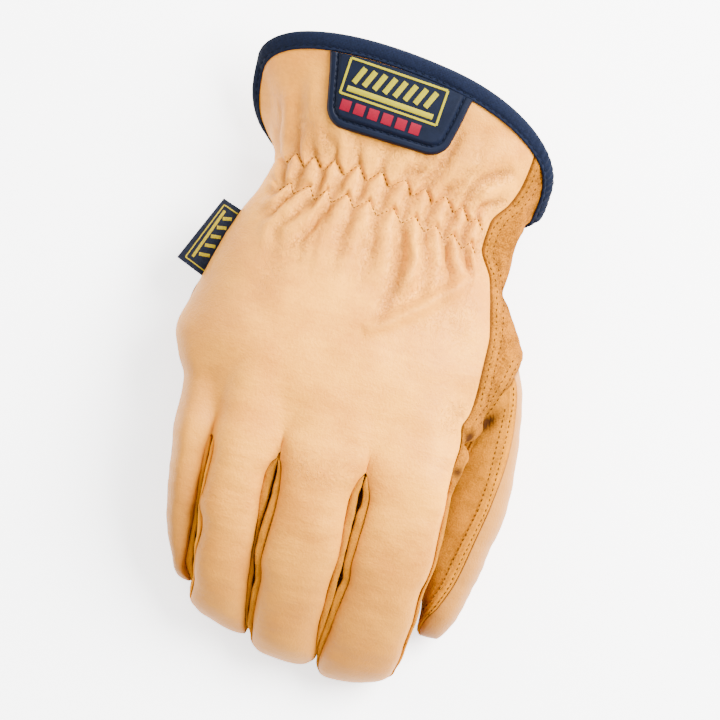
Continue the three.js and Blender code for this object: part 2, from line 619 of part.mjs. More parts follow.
// The station at which the leather has run a given distance down from the cuff's edge
function stationBelowEdge(degrees, distance) {
  let station = CUFF_EDGE;
  let run = 0;
  let last = handPoint(station, degrees, 0);
  while (run < distance && station > 50) {
    station -= 0.1;
    const next = handPoint(station, degrees, 0);
    run += next.distanceTo(last);
    last = next;
  }
  return station;
}

// The binding: a U-shaped band, swept round the cuff's edge
function cuffBinding() {
  const { depth, thick, lift, stations } = BAND;
  const free = BAND.gap;
  const inside = LEATHER + free;
  const profile = [
    [depth / 2, -free], [depth, -free], [depth, -free - thick], [depth / 2, -free - thick],
    [0.3, -free - thick], [-0.9, -free - thick * 0.5], [-lift, LEATHER / 2], [-0.9, inside + thick * 0.5],
    [0.3, inside + thick], [depth, inside + thick], [depth, inside], [-free, inside], [-free, -free],
  ];
  const rings = Array.from({ length: stations }, (_, k) => {
    const degrees = (360 * k) / stations;
    const half = stationBelowEdge(degrees, depth / 2);
    const low = stationBelowEdge(degrees, depth);
    return profile.map(([below, inset]) => {
      const edge = handPoint(CUFF_EDGE, degrees, inset);
      if (below > depth / 2) return handPoint(low, degrees, inset);
      return edge.lerp(handPoint(half, degrees, inset), below / (depth / 2));
    });
  });
  const count = profile.length;
  const triangles = [];
  for (let k = 0; k < stations; k++)
    for (let c = 0; c < count; c++) {
      const a = k * count + c;
      const b = k * count + ((c + 1) % count);
      const a2 = ((k + 1) % stations) * count + c;
      const b2 = ((k + 1) % stations) * count + ((c + 1) % count);
      triangles.push(a, b, b2, a, b2, a2);
    }
  return closedGeometry(rings.flat(), triangles);
}

// The point of the back's skin above a given x and y, near the cuff
function backAt(x, y, inset) {
  let low = 45;
  let high = CUFF_EDGE;
  const at = (station) => handPoint(station, backAngle(station, x), inset);
  for (let i = 0; i < 24; i++) {
    const middle = (low + high) / 2;
    if (at(middle).y < y) low = middle;
    else high = middle;
  }
  return at((low + high) / 2);
}

// The rubber patch lies on the leather under the binding, with a lower rim round a raised field
function labelPatch() {
  const columns = 12;
  const rows = [0, 0.08, 0.35, 0.62, 0.76, 0.86, 0.94, 1];
  const base = PATCH_LIFT;
  const height = PATCH.top - PATCH.bottom;
  const place = (down, across, lift) => {
    const fromBottom = (1 - down) * height;
    const round = Math.max(0, PATCH_ROUND - fromBottom);
    const pull = PATCH_ROUND - Math.sqrt(Math.max(0, PATCH_ROUND ** 2 - round ** 2));
    const left = THREE.MathUtils.lerp(PATCH.topLeft, PATCH.bottomLeft, down) + pull;
    const right = THREE.MathUtils.lerp(PATCH.topRight, PATCH.bottomRight, down) - pull;
    const x = THREE.MathUtils.lerp(left, right, across);
    const y = PATCH.top - down * height + PATCH_TILT * (x - PATCH.topLeft) * (0.5 + 0.5 * (1 - down));
    return backAt(x, y, 0).add(new THREE.Vector3(0, 0, lift));
  };
  const rim = (down, across) => (down > 0.93 || across < 0.05 || across > 0.95 ? 0 : PATCH_RIM);
  const spread = (c) => 0.5 - 0.5 * Math.cos((Math.PI * c) / columns);
  const face = (lifted) =>
    rows.map((down) =>
      Array.from({ length: columns + 1 }, (_, c) =>
        place(down, spread(c), base + (lifted ? PATCH_THICK + rim(down, spread(c)) : 0)),
      ),
    );
  return leatherWall({ outer: face(true), inner: face(false) });
}

// The tag lies flat off the little-finger seam, a thin folded ribbon
function sideTag() {
  const { upper, lower, outer, thick } = TAG;
  const stations = [lower, (lower + upper) / 2, upper];
  const seam = stations.map((station) => handPoint(station, 180, -SEAM_GAP));
  const outline = new THREE.Shape([...seam, ...outer].map((p) => new THREE.Vector2(p.x, p.y)));
  const bevel = { bevelThickness: thick / 4, bevelSize: thick / 4, bevelOffset: -thick / 4, bevelSegments: 2 };
  const geometry = new THREE.ExtrudeGeometry(outline, { depth: thick / 2, ...bevel });
  geometry.translate(0, 0, seam[1].z - thick / 4);
  return geometry;
}

// Materials
const material = (color, roughness) => new THREE.MeshStandardMaterial({ color, roughness, metalness: 0 });
const grainLeather = material(0xe6b98a, 0.62);
const suede = material(0xd99a50, 0.92);
const bindingFabric = material(0x1f2638, 0.8);
const patchRubber = material(0x20242f, 0.5);
const tagWeave = material(0x1a1d27, 0.75);

// Assembly
const glove = new THREE.Group();
function add(name, geometry, finish) {
  const bare = geometry.index ? geometry.toNonIndexed() : geometry;
  bare.computeVertexNormals();
  const mesh = new THREE.Mesh(bare, finish);
  mesh.name = name;
  glove.add(mesh);
}

const back = backPanel();
const palm = palmPanel();
add("back_panel", back.hand, grainLeather);
add("palm_panel", cut(palm.hand, thumbVolume()), suede);
FINGER_NAMES.forEach((name, f) => {
  add(name + "_back", back.fingers[f], grainLeather);
  add(name + "_front", palm.fingers[f], suede);
});
add("gusset_pinky_ring", gusset("pinky", "ring"), suede);
add("gusset_ring_middle", gusset("ring", "middle"), suede);
add("gusset_middle_index", gusset("middle", "index"), suede);
add("thumb_back", cut(thumbBackWall(), handVolume()), grainLeather);
add("thumb_front", cut(thumbFrontWall(), handVolume()), suede);
add("cuff_binding", cuffBinding(), bindingFabric);
add("label_patch", labelPatch(), patchRubber);
add("side_tag", sideTag(), tagWeave);

// The origin is the middle of the glove's outline, on the floor
glove.position.set(-CENTRE.x, -CENTRE.y, -FLOOR);

export default glove;
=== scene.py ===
import math

import bpy
import numpy as np
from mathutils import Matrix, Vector
from mathutils.bvhtree import BVHTree


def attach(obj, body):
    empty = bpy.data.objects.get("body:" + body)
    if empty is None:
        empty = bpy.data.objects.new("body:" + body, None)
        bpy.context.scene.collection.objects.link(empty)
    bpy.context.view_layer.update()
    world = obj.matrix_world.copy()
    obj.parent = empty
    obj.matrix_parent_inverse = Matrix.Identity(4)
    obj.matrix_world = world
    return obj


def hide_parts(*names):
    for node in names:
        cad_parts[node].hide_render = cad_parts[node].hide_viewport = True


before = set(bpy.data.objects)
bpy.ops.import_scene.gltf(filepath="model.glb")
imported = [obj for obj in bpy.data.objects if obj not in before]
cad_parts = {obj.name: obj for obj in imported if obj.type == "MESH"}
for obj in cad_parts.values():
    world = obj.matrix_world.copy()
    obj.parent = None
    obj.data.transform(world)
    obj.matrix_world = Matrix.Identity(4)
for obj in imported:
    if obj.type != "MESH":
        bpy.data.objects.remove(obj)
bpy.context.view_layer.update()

# The pattern is drawn in millimetres: fingers along -Y, thumb on +X, cuff towards +Y, +Z up
MM = 0.001
SHIFT = np.array([2.35, 1.17, 0.0])
ABOVE_GLOVE = 90.0

LEATHER = 1.6
# Powers of the sections' curves: 2 is an ellipse, and more is squarer
BACK_ROUND = 2.1
PALM_ROUND = 2.7
FINGER_ROUND = 2.2
THUMB_ROUND = 2.15


def table(names, rows):
    """A table with named columns."""
    return {name: np.array([row[i] for row in rows], float) for i, name in enumerate(names.split())}


# Sections of the hand from the cuff's edge to the finger roots
HAND_COLUMNS = (
    "y left right crown back palm ulnar radial "
    "ring middle index seam leanBack leanPalm skew"
)
HAND = table(HAND_COLUMNS, [
    (82.7, -57.6, 51.2, 8, 45, 1.3, 23, 25, -31, -6, 20, 44, 22, -26, -0.179),
    (76, -55.4, 50.2, 7, 44, 1.5, 22, 25, -30, -6, 18.5, 43.4, 18.5, -22, -0.165),
    (69.5, -52.4, 47.9, 5, 42.5, 2, 21.5, 24.5, -28.5, -6, 17, 42, 15, -18, -0.145),
    (63, -49, 46, 4, 41, 2.5, 21, 24, -27, -5.5, 15.5, 39.3, 11.5, -14, -0.12),
    (55.5, -45.3, 45.3, 3, 39.5, 3, 20, 23.5, -26, -5.5, 14.5, 34.5, 8, -10.5, -0.1),
    (46.5, -47.2, 45, 2, 40.5, 2.2, 20, 23, -27, -6, 14, 33.8, 7.3, -8, -0.09),
    (38.5, -51.2, 44.8, 2, 42.5, 1.2, 20.3, 23, -29, -7.3, 14, 39, 6, -6.5, -0.075),
    (33, -53.4, 47.8, 2, 44, 0.4, 20.6, 23, -31, -8.8, 14, 40.6, 5, -5.5, -0.06),
    (27, -55.6, 51.6, 2, 46, -0.6, 21, 23, -33, -10.5, 14, 42.1, 3.3, -4, -0.045),
    (17, -58.8, 56, 3, 48.5, -1.5, 21.5, 23, -36, -13, 14, 44.1, 1, -2, -0.02),
    (6, -61.9, 56.5, 3, 50, -1, 22, 23.5, -39.5, -15, 13.8, 44.2, 0, 0, 0),
    (-4, -64.4, 51, 4, 51, 2, 22.5, 24.5, -42, -16.5, 13.5, 44.4, 0, 0, 0),
    (-13, -62.8, 48, 4, 51.5, 6, 23, 26, -43, -17.2, 13.2, 43.5, 0, -1, 0),
    (-21, -57.5, 46.5, 4, 51.5, 9, 23, 27.5, -43, -17.5, 13.1, 42.8, 0, -3, 0),
    (-29, -56.2, 46, 4, 51, 11.5, 22.8, 29, -42.6, -17.5, 13, 42.4, 0, -5, 0),
    (-37, -56.4, 45.6, 4, 50, 13.5, 22.5, 30, -42.1, -17.6, 13.2, 42.4, 0, -7, 0),
])
CUFF_EDGE = 82.7
FINGER_ROOT = -37.0
KNUCKLE_START = 4.0
PALM_TURN = 0.35
# The cuff's sides lean in by these amounts below its rim, and the rim tucks under beside the thumb
LEFT_LEAN = 3.8
RIGHT_LEAN = 2.6
RIM_TUCK = 5.5
VALLEY_SOFTNESS = 4.5

# The fingers from root (0) to tip (1), in heights from their centre lines
FINGER_COLUMNS = "at left right top low leftTop leftLow rightTop rightLow"
FINGERS = {
    "pinky": dict(
        reach=54.5, root=24, slope=34, tilt=-0.35,
        sections=table(FINGER_COLUMNS, [
            (0, -56.4, -42, 15.5, -13, 0, 0, 12.5, -8.5),
            (0.12, -55.3, -42.6, 14, -12, 0, 0, 10.5, -7),
            (0.4, -53.4, -41.6, 12.5, -11.5, 0, 0, 7.5, -6.5),
            (0.65, -50.3, -40.3, 11.5, -11, 0, 0, 6.5, -6),
            (0.85, -46.3, -38.6, 10.7, -10.5, 0, 0, 5.5, -5.5),
            (1, -44.6, -36.4, 10, -10, 0, 0, 5, -5),
        ]),
    ),
    "ring": dict(
        reach=69, root=30, slope=38, tilt=-0.28,
        sections=table(FINGER_COLUMNS, [
            (0, -42, -17.5, 17.5, -15.5, 6.5, -14.5, 14.5, -13),
            (0.12, -40.6, -20, 15.5, -14, 7, -9.5, 10, -9),
            (0.4, -38.9, -19.4, 13.5, -12.5, 7.5, -7, 8, -7),
            (0.7, -36.6, -17.4, 12.5, -12, 6.5, -6, 6.5, -6),
            (1, -34.5, -12.6, 11, -11, 5, -5, 5, -5),
        ]),
    ),
    "middle": dict(
        reach=77, root=32.5, slope=40, tilt=-0.06,
        sections=table(FINGER_COLUMNS, [
            (0, -17.5, 13, 17.5, -17, 12, -15.5, 13.5, -15),
            (0.12, -15, 10.4, 16, -15, 9.5, -10, 10.5, -10),
            (0.4, -14.8, 10.7, 14.5, -13.5, 8, -7.5, 8.5, -7.5),
            (0.7, -12.9, 10.3, 13, -12.5, 6.5, -6.5, 7, -6.5),
            (1, -11.2, 11.4, 11.5, -11.5, 5, -5, 5, -5),
        ]),
    ),
    "index": dict(
        reach=79, root=32, slope=40, tilt=0.16,
        sections=table(FINGER_COLUMNS, [
            (0, 13, 42.4, 17, -16, 14, -14.5, 11, -9),
            (0.12, 16.4, 42.7, 15.5, -14.5, 11, -9.5, 9.5, -8.5),
            (0.4, 15.9, 43, 14, -13, 8.5, -7.5, 8.5, -8),
            (0.7, 14.2, 41.2, 13, -12.5, 7, -6.5, 7.5, -7.5),
            (1, 13, 37.4, 11.5, -11.5, 5, -5, 5, -5),
        ]),
    ),
}
NAMES = list(FINGERS)

# The slits between the fingers, as seen from above: the two seams, and the two lips' edges
SLIT_COLUMNS = "y leftSeam leftLip rightLip rightSeam"
SLITS = {
    "pinky": table(SLIT_COLUMNS, [
        (-37, -42.1, -42.1, -42.1, -42.1), (-38.5, -43.2, -42, -41.6, -40.7),
        (-41, -43.5, -41.9, -41.6, -40.2), (-45, -43.3, -41.7, -41.5, -40.2),
        (-52, -43, -41.6, -41.4, -40.2), (-57, -42.5, -41.2, -41.1, -40.3),
        (-60.5, -42.1, -41, -40.9, -40.7), (-63, -42, -40.9, -40.7, -40),
        (-66, -41.7, -40.3, -40.1, -38.4), (-70, -41.4, -39.6, -39.4, -37.7),
        (-76, -41.1, -39.1, -38.9, -37.8), (-82, -40.9, -38.2, -38, -37.4),
        (-88, -39, -36.9, -36.7, -36),
    ]),
    "ring": table(SLIT_COLUMNS, [
        (-37, -17.6, -17.6, -17.6, -17.6), (-39.5, -17.9, -17.6, -17.5, -17.3),
        (-42, -19.9, -17.6, -17.2, -16), (-46, -21, -17.6, -16.9, -15),
        (-52, -20.9, -17.5, -16.9, -14.3), (-58, -20.2, -17.7, -17.3, -14.4),
        (-64, -19.3, -18, -17.8, -14.8), (-70, -18.9, -18, -17.9, -15),
        (-75, -18.6, -17.6, -17.4, -14.8), (-80, -18.1, -16.4, -15.9, -13.6),
        (-83.5, -17.8, -16.1, -15.3, -13.2), (-88, -17.3, -15.7, -15.5, -13),
        (-94, -16.2, -15.2, -15, -12.7), (-99, -15, -14.6, -14.4, -12.4),
        (-103.5, -12.8, -12.4, -12.2, -11.6),
    ]),
    "middle": table(SLIT_COLUMNS, [
        (-37, 13.2, 13.2, 13.2, 13.2), (-38.5, 12.4, 13, 13.3, 14), (-41, 10.6, 12.9, 13.3, 15),
        (-45, 9.8, 12.6, 14, 16.5), (-48.5, 9.8, 12.8, 14.3, 16.7), (-52, 9.9, 12.9, 13.5, 16.6),
        (-60, 10.3, 13, 13.3, 16.4), (-68, 10.8, 13.1, 13.2, 16.2), (-75, 10.5, 13, 14.2, 16.7),
        (-81, 10.2, 12.9, 13.1, 16), (-88, 10.1, 12.6, 12.8, 15.3), (-94, 10.2, 12.1, 12.3, 14.7),
        (-99, 10.7, 11.7, 11.9, 13.9), (-104, 11.6, 12.2, 12.4, 13.4), (-108, 12.6, 12.8, 12.9, 13.1),
    ]),
}
# The index finger's outer seam, as seen from above, with the edge of the suede lip beside it
INDEX_SEAM = table("y leftSeam lip", [
    (-37, 42.4, 44), (-45, 42.8, 44.7), (-55, 43.2, 44.9), (-62, 43.5, 44.8), (-68, 43, 44),
    (-73, 42, 43.2), (-78, 41.7, 42.9), (-83, 41.8, 43.1), (-88, 41.3, 42.6), (-94, 40.8, 41.9),
    (-99, 40.2, 41.4), (-103, 39.4, 40.2),
])
FINGER_SEAMS = {
    "pinky": (None, (SLITS["pinky"], "leftSeam")),
    "ring": ((SLITS["pinky"], "rightSeam"), (SLITS["ring"], "leftSeam")),
    "middle": ((SLITS["ring"], "rightSeam"), (SLITS["middle"], "leftSeam")),
    "index": ((SLITS["middle"], "rightSeam"), (INDEX_SEAM, "leftSeam")),
}

# The thumb from inside the hand to its tip, with the angles at which grain leather meets suede
THUMB = table("y x z half tall seam under", [
    (24, 39, 22, 8, 10, 40, 262), (13, 45.2, 20.5, 10, 12, 42, 262), (3, 49.8, 18.5, 10.4, 13, 42, 262),
    (-8, 52, 16, 10.2, 13, 42, 260), (-22, 54, 13.8, 10, 12.8, 52, 258),
    (-38, 55.1, 12.4, 9.9, 12.4, 70, 255), (-52, 54.1, 11.6, 9, 12, 78, 252),
    (-66, 52.5, 10.8, 7.9, 11.4, 84, 245), (-77, 50.9, 10, 7, 10.4, 100, 230),
    (-84, 49.8, 9.4, 6.2, 9.6, 135, 200), (-89, 48.8, 9, 5.6, 9, 164, 172),
])
THUMB_TIP = (-76.0, -89.0)
THUMB_FILL = 0.42


def look_up(rows, key, column, at):
    """Value of a column between a table's rows, on a smooth curve that doesn't overshoot."""
    order = 1 if rows[key][-1] > rows[key][0] else -1
    keys = rows[key][::order]
    values = rows[column][::order]
    slopes = np.diff(values) / np.diff(keys)
    product = slopes[:-1] * slopes[1:]
    joined = np.where(product > 0, 2 * product / np.where(product > 0, slopes[:-1] + slopes[1:], 1), 0)
    tangents = np.concatenate([slopes[:1], joined, slopes[-1:]])
    at = np.clip(at, keys[0], keys[-1])
    i = np.clip(np.searchsorted(keys, at, side="right") - 1, 0, len(keys) - 2)
    span = keys[i + 1] - keys[i]
    u = (at - keys[i]) / span
    return (
        (2 * u**3 - 3 * u**2 + 1) * values[i] + (u**3 - 2 * u**2 + u) * span * tangents[i]
        + (3 * u**2 - 2 * u**3) * values[i + 1] + (u**3 - u**2) * span * tangents[i + 1]
    )


def smooth(value, low, high):
    """0 below low, 1 above high, an even curve between."""
    u = np.clip((value - low) / (high - low), 0, 1)
    return u * u * (3 - 2 * u)


def bell(value, middle, width):
    """A smooth bump of height 1 round a middle."""
    return np.exp(-(((value - middle) / width) ** 2))


def two_bells(value, middles, width):
    """Two smooth bumps of height 1, such as a seam allowance's pair of stitch grooves."""
    return bell(value, middles[0], width) + bell(value, middles[1], width)


def signed_power(value, power):
    """A power that keeps the value's sign."""
    return np.sign(value) * np.abs(value) ** power


def on_floor(points, inset=0.0):
    """Lifts points that would lie under the floor, or under a wall's thickness above it."""
    points[..., 2] = np.maximum(points[..., 2], max(inset, 0.0))
    return points


def column_of(rows, key, at):
    """All of a table's other columns at a place in its key column."""
    return {name: look_up(rows, key, name, at) for name in rows if name != key}


# The hand's skin
def under_share(upwards):
    """How far under the palm a point lies, from 0 at its sides to 1 at its lowest."""
    return np.maximum(-upwards, 0) * (1.4 + 0.4 * np.minimum(upwards, 0))


def hand_skin(station, degrees, inset=0.0):
    """A point of the hand: 180 degrees is the little finger's side, 90 the back, 0 the thumb's side."""
    station, degrees, inset = np.broadcast_arrays(station, degrees, np.asarray(inset, float))
    s = column_of(HAND, "y", station)
    angle = np.radians(degrees)
    cosine, sine = np.cos(angle), np.sin(angle)
    power = 2 / np.where(sine >= 0, BACK_ROUND, PALM_ROUND)
    sideways = signed_power(cosine, power)
    upwards = signed_power(sine, power)
    half = np.where(cosine > 0, s["right"] - inset - s["crown"], s["crown"] - s["left"] - inset)
    side = s["ulnar"] + (s["radial"] - s["ulnar"]) * (0.5 + 0.5 * sideways)
    tall = np.where(sine >= 0, s["back"] - inset - side, side - s["palm"] - inset)
    x = s["crown"] + half * sideways
    under = under_share(upwards)
    turn = s["skew"] * (x - s["crown"]) * (1 - PALM_TURN * under)
    y = station + turn + s["leanBack"] * np.maximum(upwards, 0) + s["leanPalm"] * under
    z = side + tall * upwards
    x = x + cuff_lean(station, degrees)
    return np.stack([x, y, np.maximum(z, np.maximum(inset, 0))], -1)


def cuff_lean(station, degrees):
    """How far the cuff's sides lean in above its rim, and the rim itself tucks under beside the thumb."""
    below_rim = CUFF_EDGE - station
    turned = np.where(degrees > 270, degrees - 360, degrees)
    left = LEFT_LEAN * smooth(below_rim, 0, 11) * smooth(station, 48, 62)
    left = left * smooth(degrees, 118, 162) * (1 - smooth(degrees, 200, 240))
    right = RIGHT_LEAN * smooth(below_rim, 0, 8) * smooth(station, 64, 73)
    right = right * (1 - smooth(turned, 6, 30)) * smooth(turned, -40, -18)
    tuck = RIM_TUCK * smooth(station, 62, 80) * smooth(-turned, 12, 27) * (turned > -90)
    return left - right - tuck


def hand_level(points):
    """Below 0 inside the hand's skin and above 0 outside it."""
    x, y, z = points[..., 0], points[..., 1], points[..., 2]
    station = y.copy()
    for _ in range(6):
        s = column_of(HAND, "y", station)
        half = np.where(x > s["crown"], s["right"] - s["crown"], s["crown"] - s["left"])
        sideways = (x - s["crown"]) / half
        side = s["ulnar"] + (s["radial"] - s["ulnar"]) * (0.5 + 0.5 * np.clip(sideways, -1, 1))
        upwards = np.where(z > side, (z - side) / (s["back"] - side), (z - side) / (side - s["palm"]))
        up = np.clip(upwards, -1, 1)
        under = under_share(up)
        turn = s["skew"] * (x - s["crown"]) * (1 - PALM_TURN * under)
        station = y - turn - s["leanBack"] * np.maximum(up, 0) - s["leanPalm"] * under
    power = np.where(upwards > 0, BACK_ROUND, PALM_ROUND)
    return np.abs(sideways) ** power + np.abs(upwards) ** power - 1


def hand_angle(station, x, under=False):
    """The angle on the back, or under the palm, at which a section reaches a given x."""
    s = column_of(HAND, "y", station)
    half = np.where(x > s["crown"], s["right"] - s["crown"], s["crown"] - s["left"])
    sideways = np.clip((x - s["crown"]) / half, -1, 1)
    power = (PALM_ROUND if under else BACK_ROUND) / 2
    degrees = np.degrees(np.arccos(signed_power(sideways, power)))
    return 360 - degrees if under else degrees


# The fingers' skins
LINE_STEPS = 60
WEB_END = 0.4
WEB_HEIGHT = 17
TIP_START = 0.8
TIP_LENGTH = 0.2
TIP_WIDTH = 0.66
TIP_HEIGHT = 0.04


def centre_line(name, at, inset):
    """A finger's centre line slopes down more and more towards the tip."""
    finger = FINGERS[name]
    step = (finger["reach"] - inset) / LINE_STEPS
    share = np.arange(LINE_STEPS + 1) / LINE_STEPS
    angle = np.radians(finger["slope"] * share**0.8)
    y = FINGER_ROOT - step * np.concatenate([[0], np.cumsum(np.cos(angle[:-1]))])
    z = finger["root"] - step * np.concatenate([[0], np.cumsum(np.sin(angle[:-1]))])
    return [np.interp(at, share, values) for values in (y, z, angle)]


def tip_shape(at):
    """How far a finger's tip has closed, as shares of its width and height."""
    end = np.clip((at - TIP_START) / TIP_LENGTH, 0, 1)
    width = TIP_WIDTH + (1 - TIP_WIDTH) * np.sqrt(1 - end**2.6)
    return width, TIP_HEIGHT + (1 - TIP_HEIGHT) * np.sqrt(1 - end**2)


def finger_section(name, at):
    """A finger's section, with its edges on the seams seen in the leather."""
    s = column_of(FINGERS[name]["sections"], "at", at)
    width, height = tip_shape(at)
    y, _, angle = centre_line(name, at, 0.0)
    s["middle"] = (s["left"] + s["right"]) / 2
    half = (s["right"] - s["left"]) / 2 * width
    fit = 1 - smooth(at, 0.86, 0.97)
    for sign, edge, level, seam in (
        (-1, "left", "leftTop", FINGER_SEAMS[name][0]),
        (1, "right", "rightTop", FINGER_SEAMS[name][1]),
    ):
        x = s["middle"] + sign * half
        if seam is not None:
            turn = FINGERS[name]["tilt"] * (x - s["middle"]) * at**3
            seen = y - s[level] * height * np.sin(angle) + turn
            x = x + (look_up(seam[0], "y", seam[1], seen) - x) * fit
        s[edge] = x
    s["height"] = height
    return s


def place_on_finger(name, at, x, height, inset, middle):
    """Points at a height from a finger's centre line, turned as the finger bends down and tilts."""
    y, z, angle = centre_line(name, at, inset)
    # The palm's lean at its last section fades out along the finger's underside
    web = HAND["leanPalm"][-1] * (1 - smooth(at, 0, WEB_END))
    turn = FINGERS[name]["tilt"] * (x - middle) * at**3
    points = np.stack([
        x,
        y - height * np.sin(angle) + web * np.clip(-height / WEB_HEIGHT, 0, 1) + turn,
        z + height * np.cos(angle),
    ], -1)
    return on_floor(points, inset)


def finger_face(name, at, palm, across, inset=0.0):
    """The back or palm side of a finger. across runs from its left edge to its right one."""
    at, across = np.broadcast_arrays(at, across)
    s = finger_section(name, at)
    sign = -1 if palm else 1
    middle = (s["left"] + s["right"]) / 2
    half = (s["right"] - s["left"]) / 2 - inset
    crest = (s["low"] if palm else s["top"]) - sign * inset
    ends = ("leftLow", "rightLow") if palm else ("leftTop", "rightTop")
    first = across < 0.5
    # The little finger's outer edge has no side wall under it
    drop = np.where(first & (name == "pinky"), 0, sign * inset)
    edge = np.where(first, s[ends[0]], s[ends[1]]) - drop
    angle = np.pi * (1 - across)
    power = 2 / FINGER_ROUND
    x = middle + half * signed_power(np.cos(angle), power)
    height = (edge + (crest - edge) * np.abs(np.sin(angle)) ** power) * s["height"]
    return place_on_finger(name, at, x, height, inset, s["middle"])


def finger_side(name, at, right, level, out, rise, inset=0.0):
    """A finger's side wall at a level between its seams. out is how far it stands out, rise how far up."""
    s = finger_section(name, at)
    prefix = "right" if right else "left"
    sign = 1 if right else -1
    top = (s[prefix + "Top"] - inset) * s["height"]
    low = (s[prefix + "Low"] + inset) * s["height"]
    x = s[prefix] + sign * (out - inset)
    height = top + (low - top) * level + rise
    return place_on_finger(name, at, x, height, inset, s["middle"])


# The thumb's skin
def thumb_skin(station, degrees, inset=0.0):
    """A point of the thumb: 0 degrees is the outer side, 90 the top."""
    station, degrees = np.broadcast_arrays(station, degrees)
    s = column_of(THUMB, "y", station)
    end = np.clip((THUMB_TIP[0] - station) / (THUMB_TIP[0] - THUMB_TIP[1]), 0, 1)
    width = 0.42 + 0.58 * np.sqrt(1 - end**2.6)
    height = 0.04 + 0.96 * np.sqrt(1 - end**2)
    angle = np.radians(degrees)
    power = 2 / THUMB_ROUND
    # Towards the hand it spreads until it lies against the side of the palm and the index finger
    spread_out = THUMB_FILL * smooth(degrees, 84, 140) * (1 - smooth(degrees, 190, 245))
    width = width * (1 + spread_out * smooth(-station, -8, 6) * (1 - smooth(-station, 58, 84)))
    points = np.stack([
        s["x"] + (s["half"] * width - inset) * signed_power(np.cos(angle), power),
        np.maximum(station, THUMB_TIP[1] + inset),
        s["z"] + (s["tall"] - inset) * height * signed_power(np.sin(angle), power),
    ], -1)
    return on_floor(points, inset)


def thumb_level(points):
    """Below 0 inside the thumb's skin and above 0 outside it."""
    s = column_of(THUMB, "y", points[..., 1])
    wide = np.abs((points[..., 0] - s["x"]) / s["half"]) ** THUMB_ROUND
    tall = np.abs((points[..., 2] - s["z"]) / s["tall"]) ** THUMB_ROUND
    return np.where(points[..., 1] < THUMB["y"][0], wide + tall - 1, 1.0)


# Relief
def row_lengths(points, axis):
    """Distance along the rows (axis 1) or columns (axis 0) from the first point."""
    steps = np.linalg.norm(np.diff(points, axis=axis), axis=-1)
    start = np.zeros_like(np.take(steps, [0], axis=axis))
    return np.concatenate([start, np.cumsum(steps, axis=axis)], axis=axis)


def path_run(path):
    """Distance along a path of points from the first one."""
    return np.concatenate([[0], np.cumsum(np.linalg.norm(np.diff(path, axis=0), axis=1))])


def edge_distances(points, axis=1):
    """Distances from the first and the last edge of a sheet."""
    run = row_lengths(points, axis)
    return run, np.take(run, [-1], axis=axis) - run


def normals_of(points, inner):
    """Normals of a sheet of points, away from its inner side."""
    along = np.gradient(points, axis=0)
    across = np.gradient(points, axis=1)
    normal = np.cross(along, across)
    normal /= np.maximum(np.linalg.norm(normal, axis=-1, keepdims=True), 1e-9)
    sign = np.sign(np.sum(normal * (points - inner), axis=(-1, -2, -3)))
    return normal * sign


def rolled_edge(distance, radius):
    """The rounding of a cut edge: down by the radius at the edge itself."""
    u = 1 - np.clip(distance / radius, 0, 1)
    return -radius * (1 - np.sqrt(np.maximum(1 - u * u, 0)))


def distance_to_path(x, y, path):
    """Distance of points from a path of corners, seen from above, and the share of the path's length."""
    path = np.asarray(path, float)
    lengths = np.linalg.norm(np.diff(path, axis=0), axis=1)
    total = lengths.sum()
    best = np.full(x.shape, 1e9)
    share = np.zeros(x.shape)
    run = 0.0
    for start, stop, length in zip(path[:-1], path[1:], lengths):
        step = (stop - start) / length
        t = np.clip((x - start[0]) * step[0] + (y - start[1]) * step[1], 0, length)
        d = np.hypot(x - start[0] - t * step[0], y - start[1] - t * step[1])
        near = d < best
        best = np.where(near, d, best)
        share = np.where(near, (run + t) / total, share)
        run += length
    return best, share


def rounded_path(points, count=8):
    """A path through the given points with its corners rounded."""
    points = np.asarray(points, float)
    padded = np.vstack([2 * points[0] - points[1], points, 2 * points[-1] - points[-2]])
    u = np.linspace(0, 1, count, endpoint=False)[:, None]
    pieces = []
    for a, b, c, d in zip(padded[:-3], padded[1:-2], padded[2:-1], padded[3:]):
        square = (2 * a - 5 * b + 4 * c - d) * u**2
        cube = (3 * b - a - 3 * c + d) * u**3
        pieces.append(0.5 * (2 * b + (c - a) * u + square + cube))
    return np.vstack(pieces + [points[-1:]])


def fold(x, y, path, width, height):
    """A long fold (height above 0) or crease (below 0) along a path, fading at its ends."""
    distance, share = distance_to_path(x, y, rounded_path(path, 4))
    ends = np.sin(np.pi * np.clip(share, 0, 1)) ** 0.6
    return height * ends * bell(distance, 0, width)


def uneven(x, y, scale, seed):
    """Slow, gentle unevenness between about -1 and 1 over a given length in millimetres."""
    total = np.zeros(np.broadcast_shapes(np.shape(x), np.shape(y)))
    for k in range(6):
        turn = seed + 2.4 * k
        size = scale * (0.7 + 0.13 * k)
        along = x * math.cos(turn) + y * math.sin(turn)
        total += np.sin(along * 2 * math.pi / size + 1.7 * k * k + seed)
    return total / 3.2


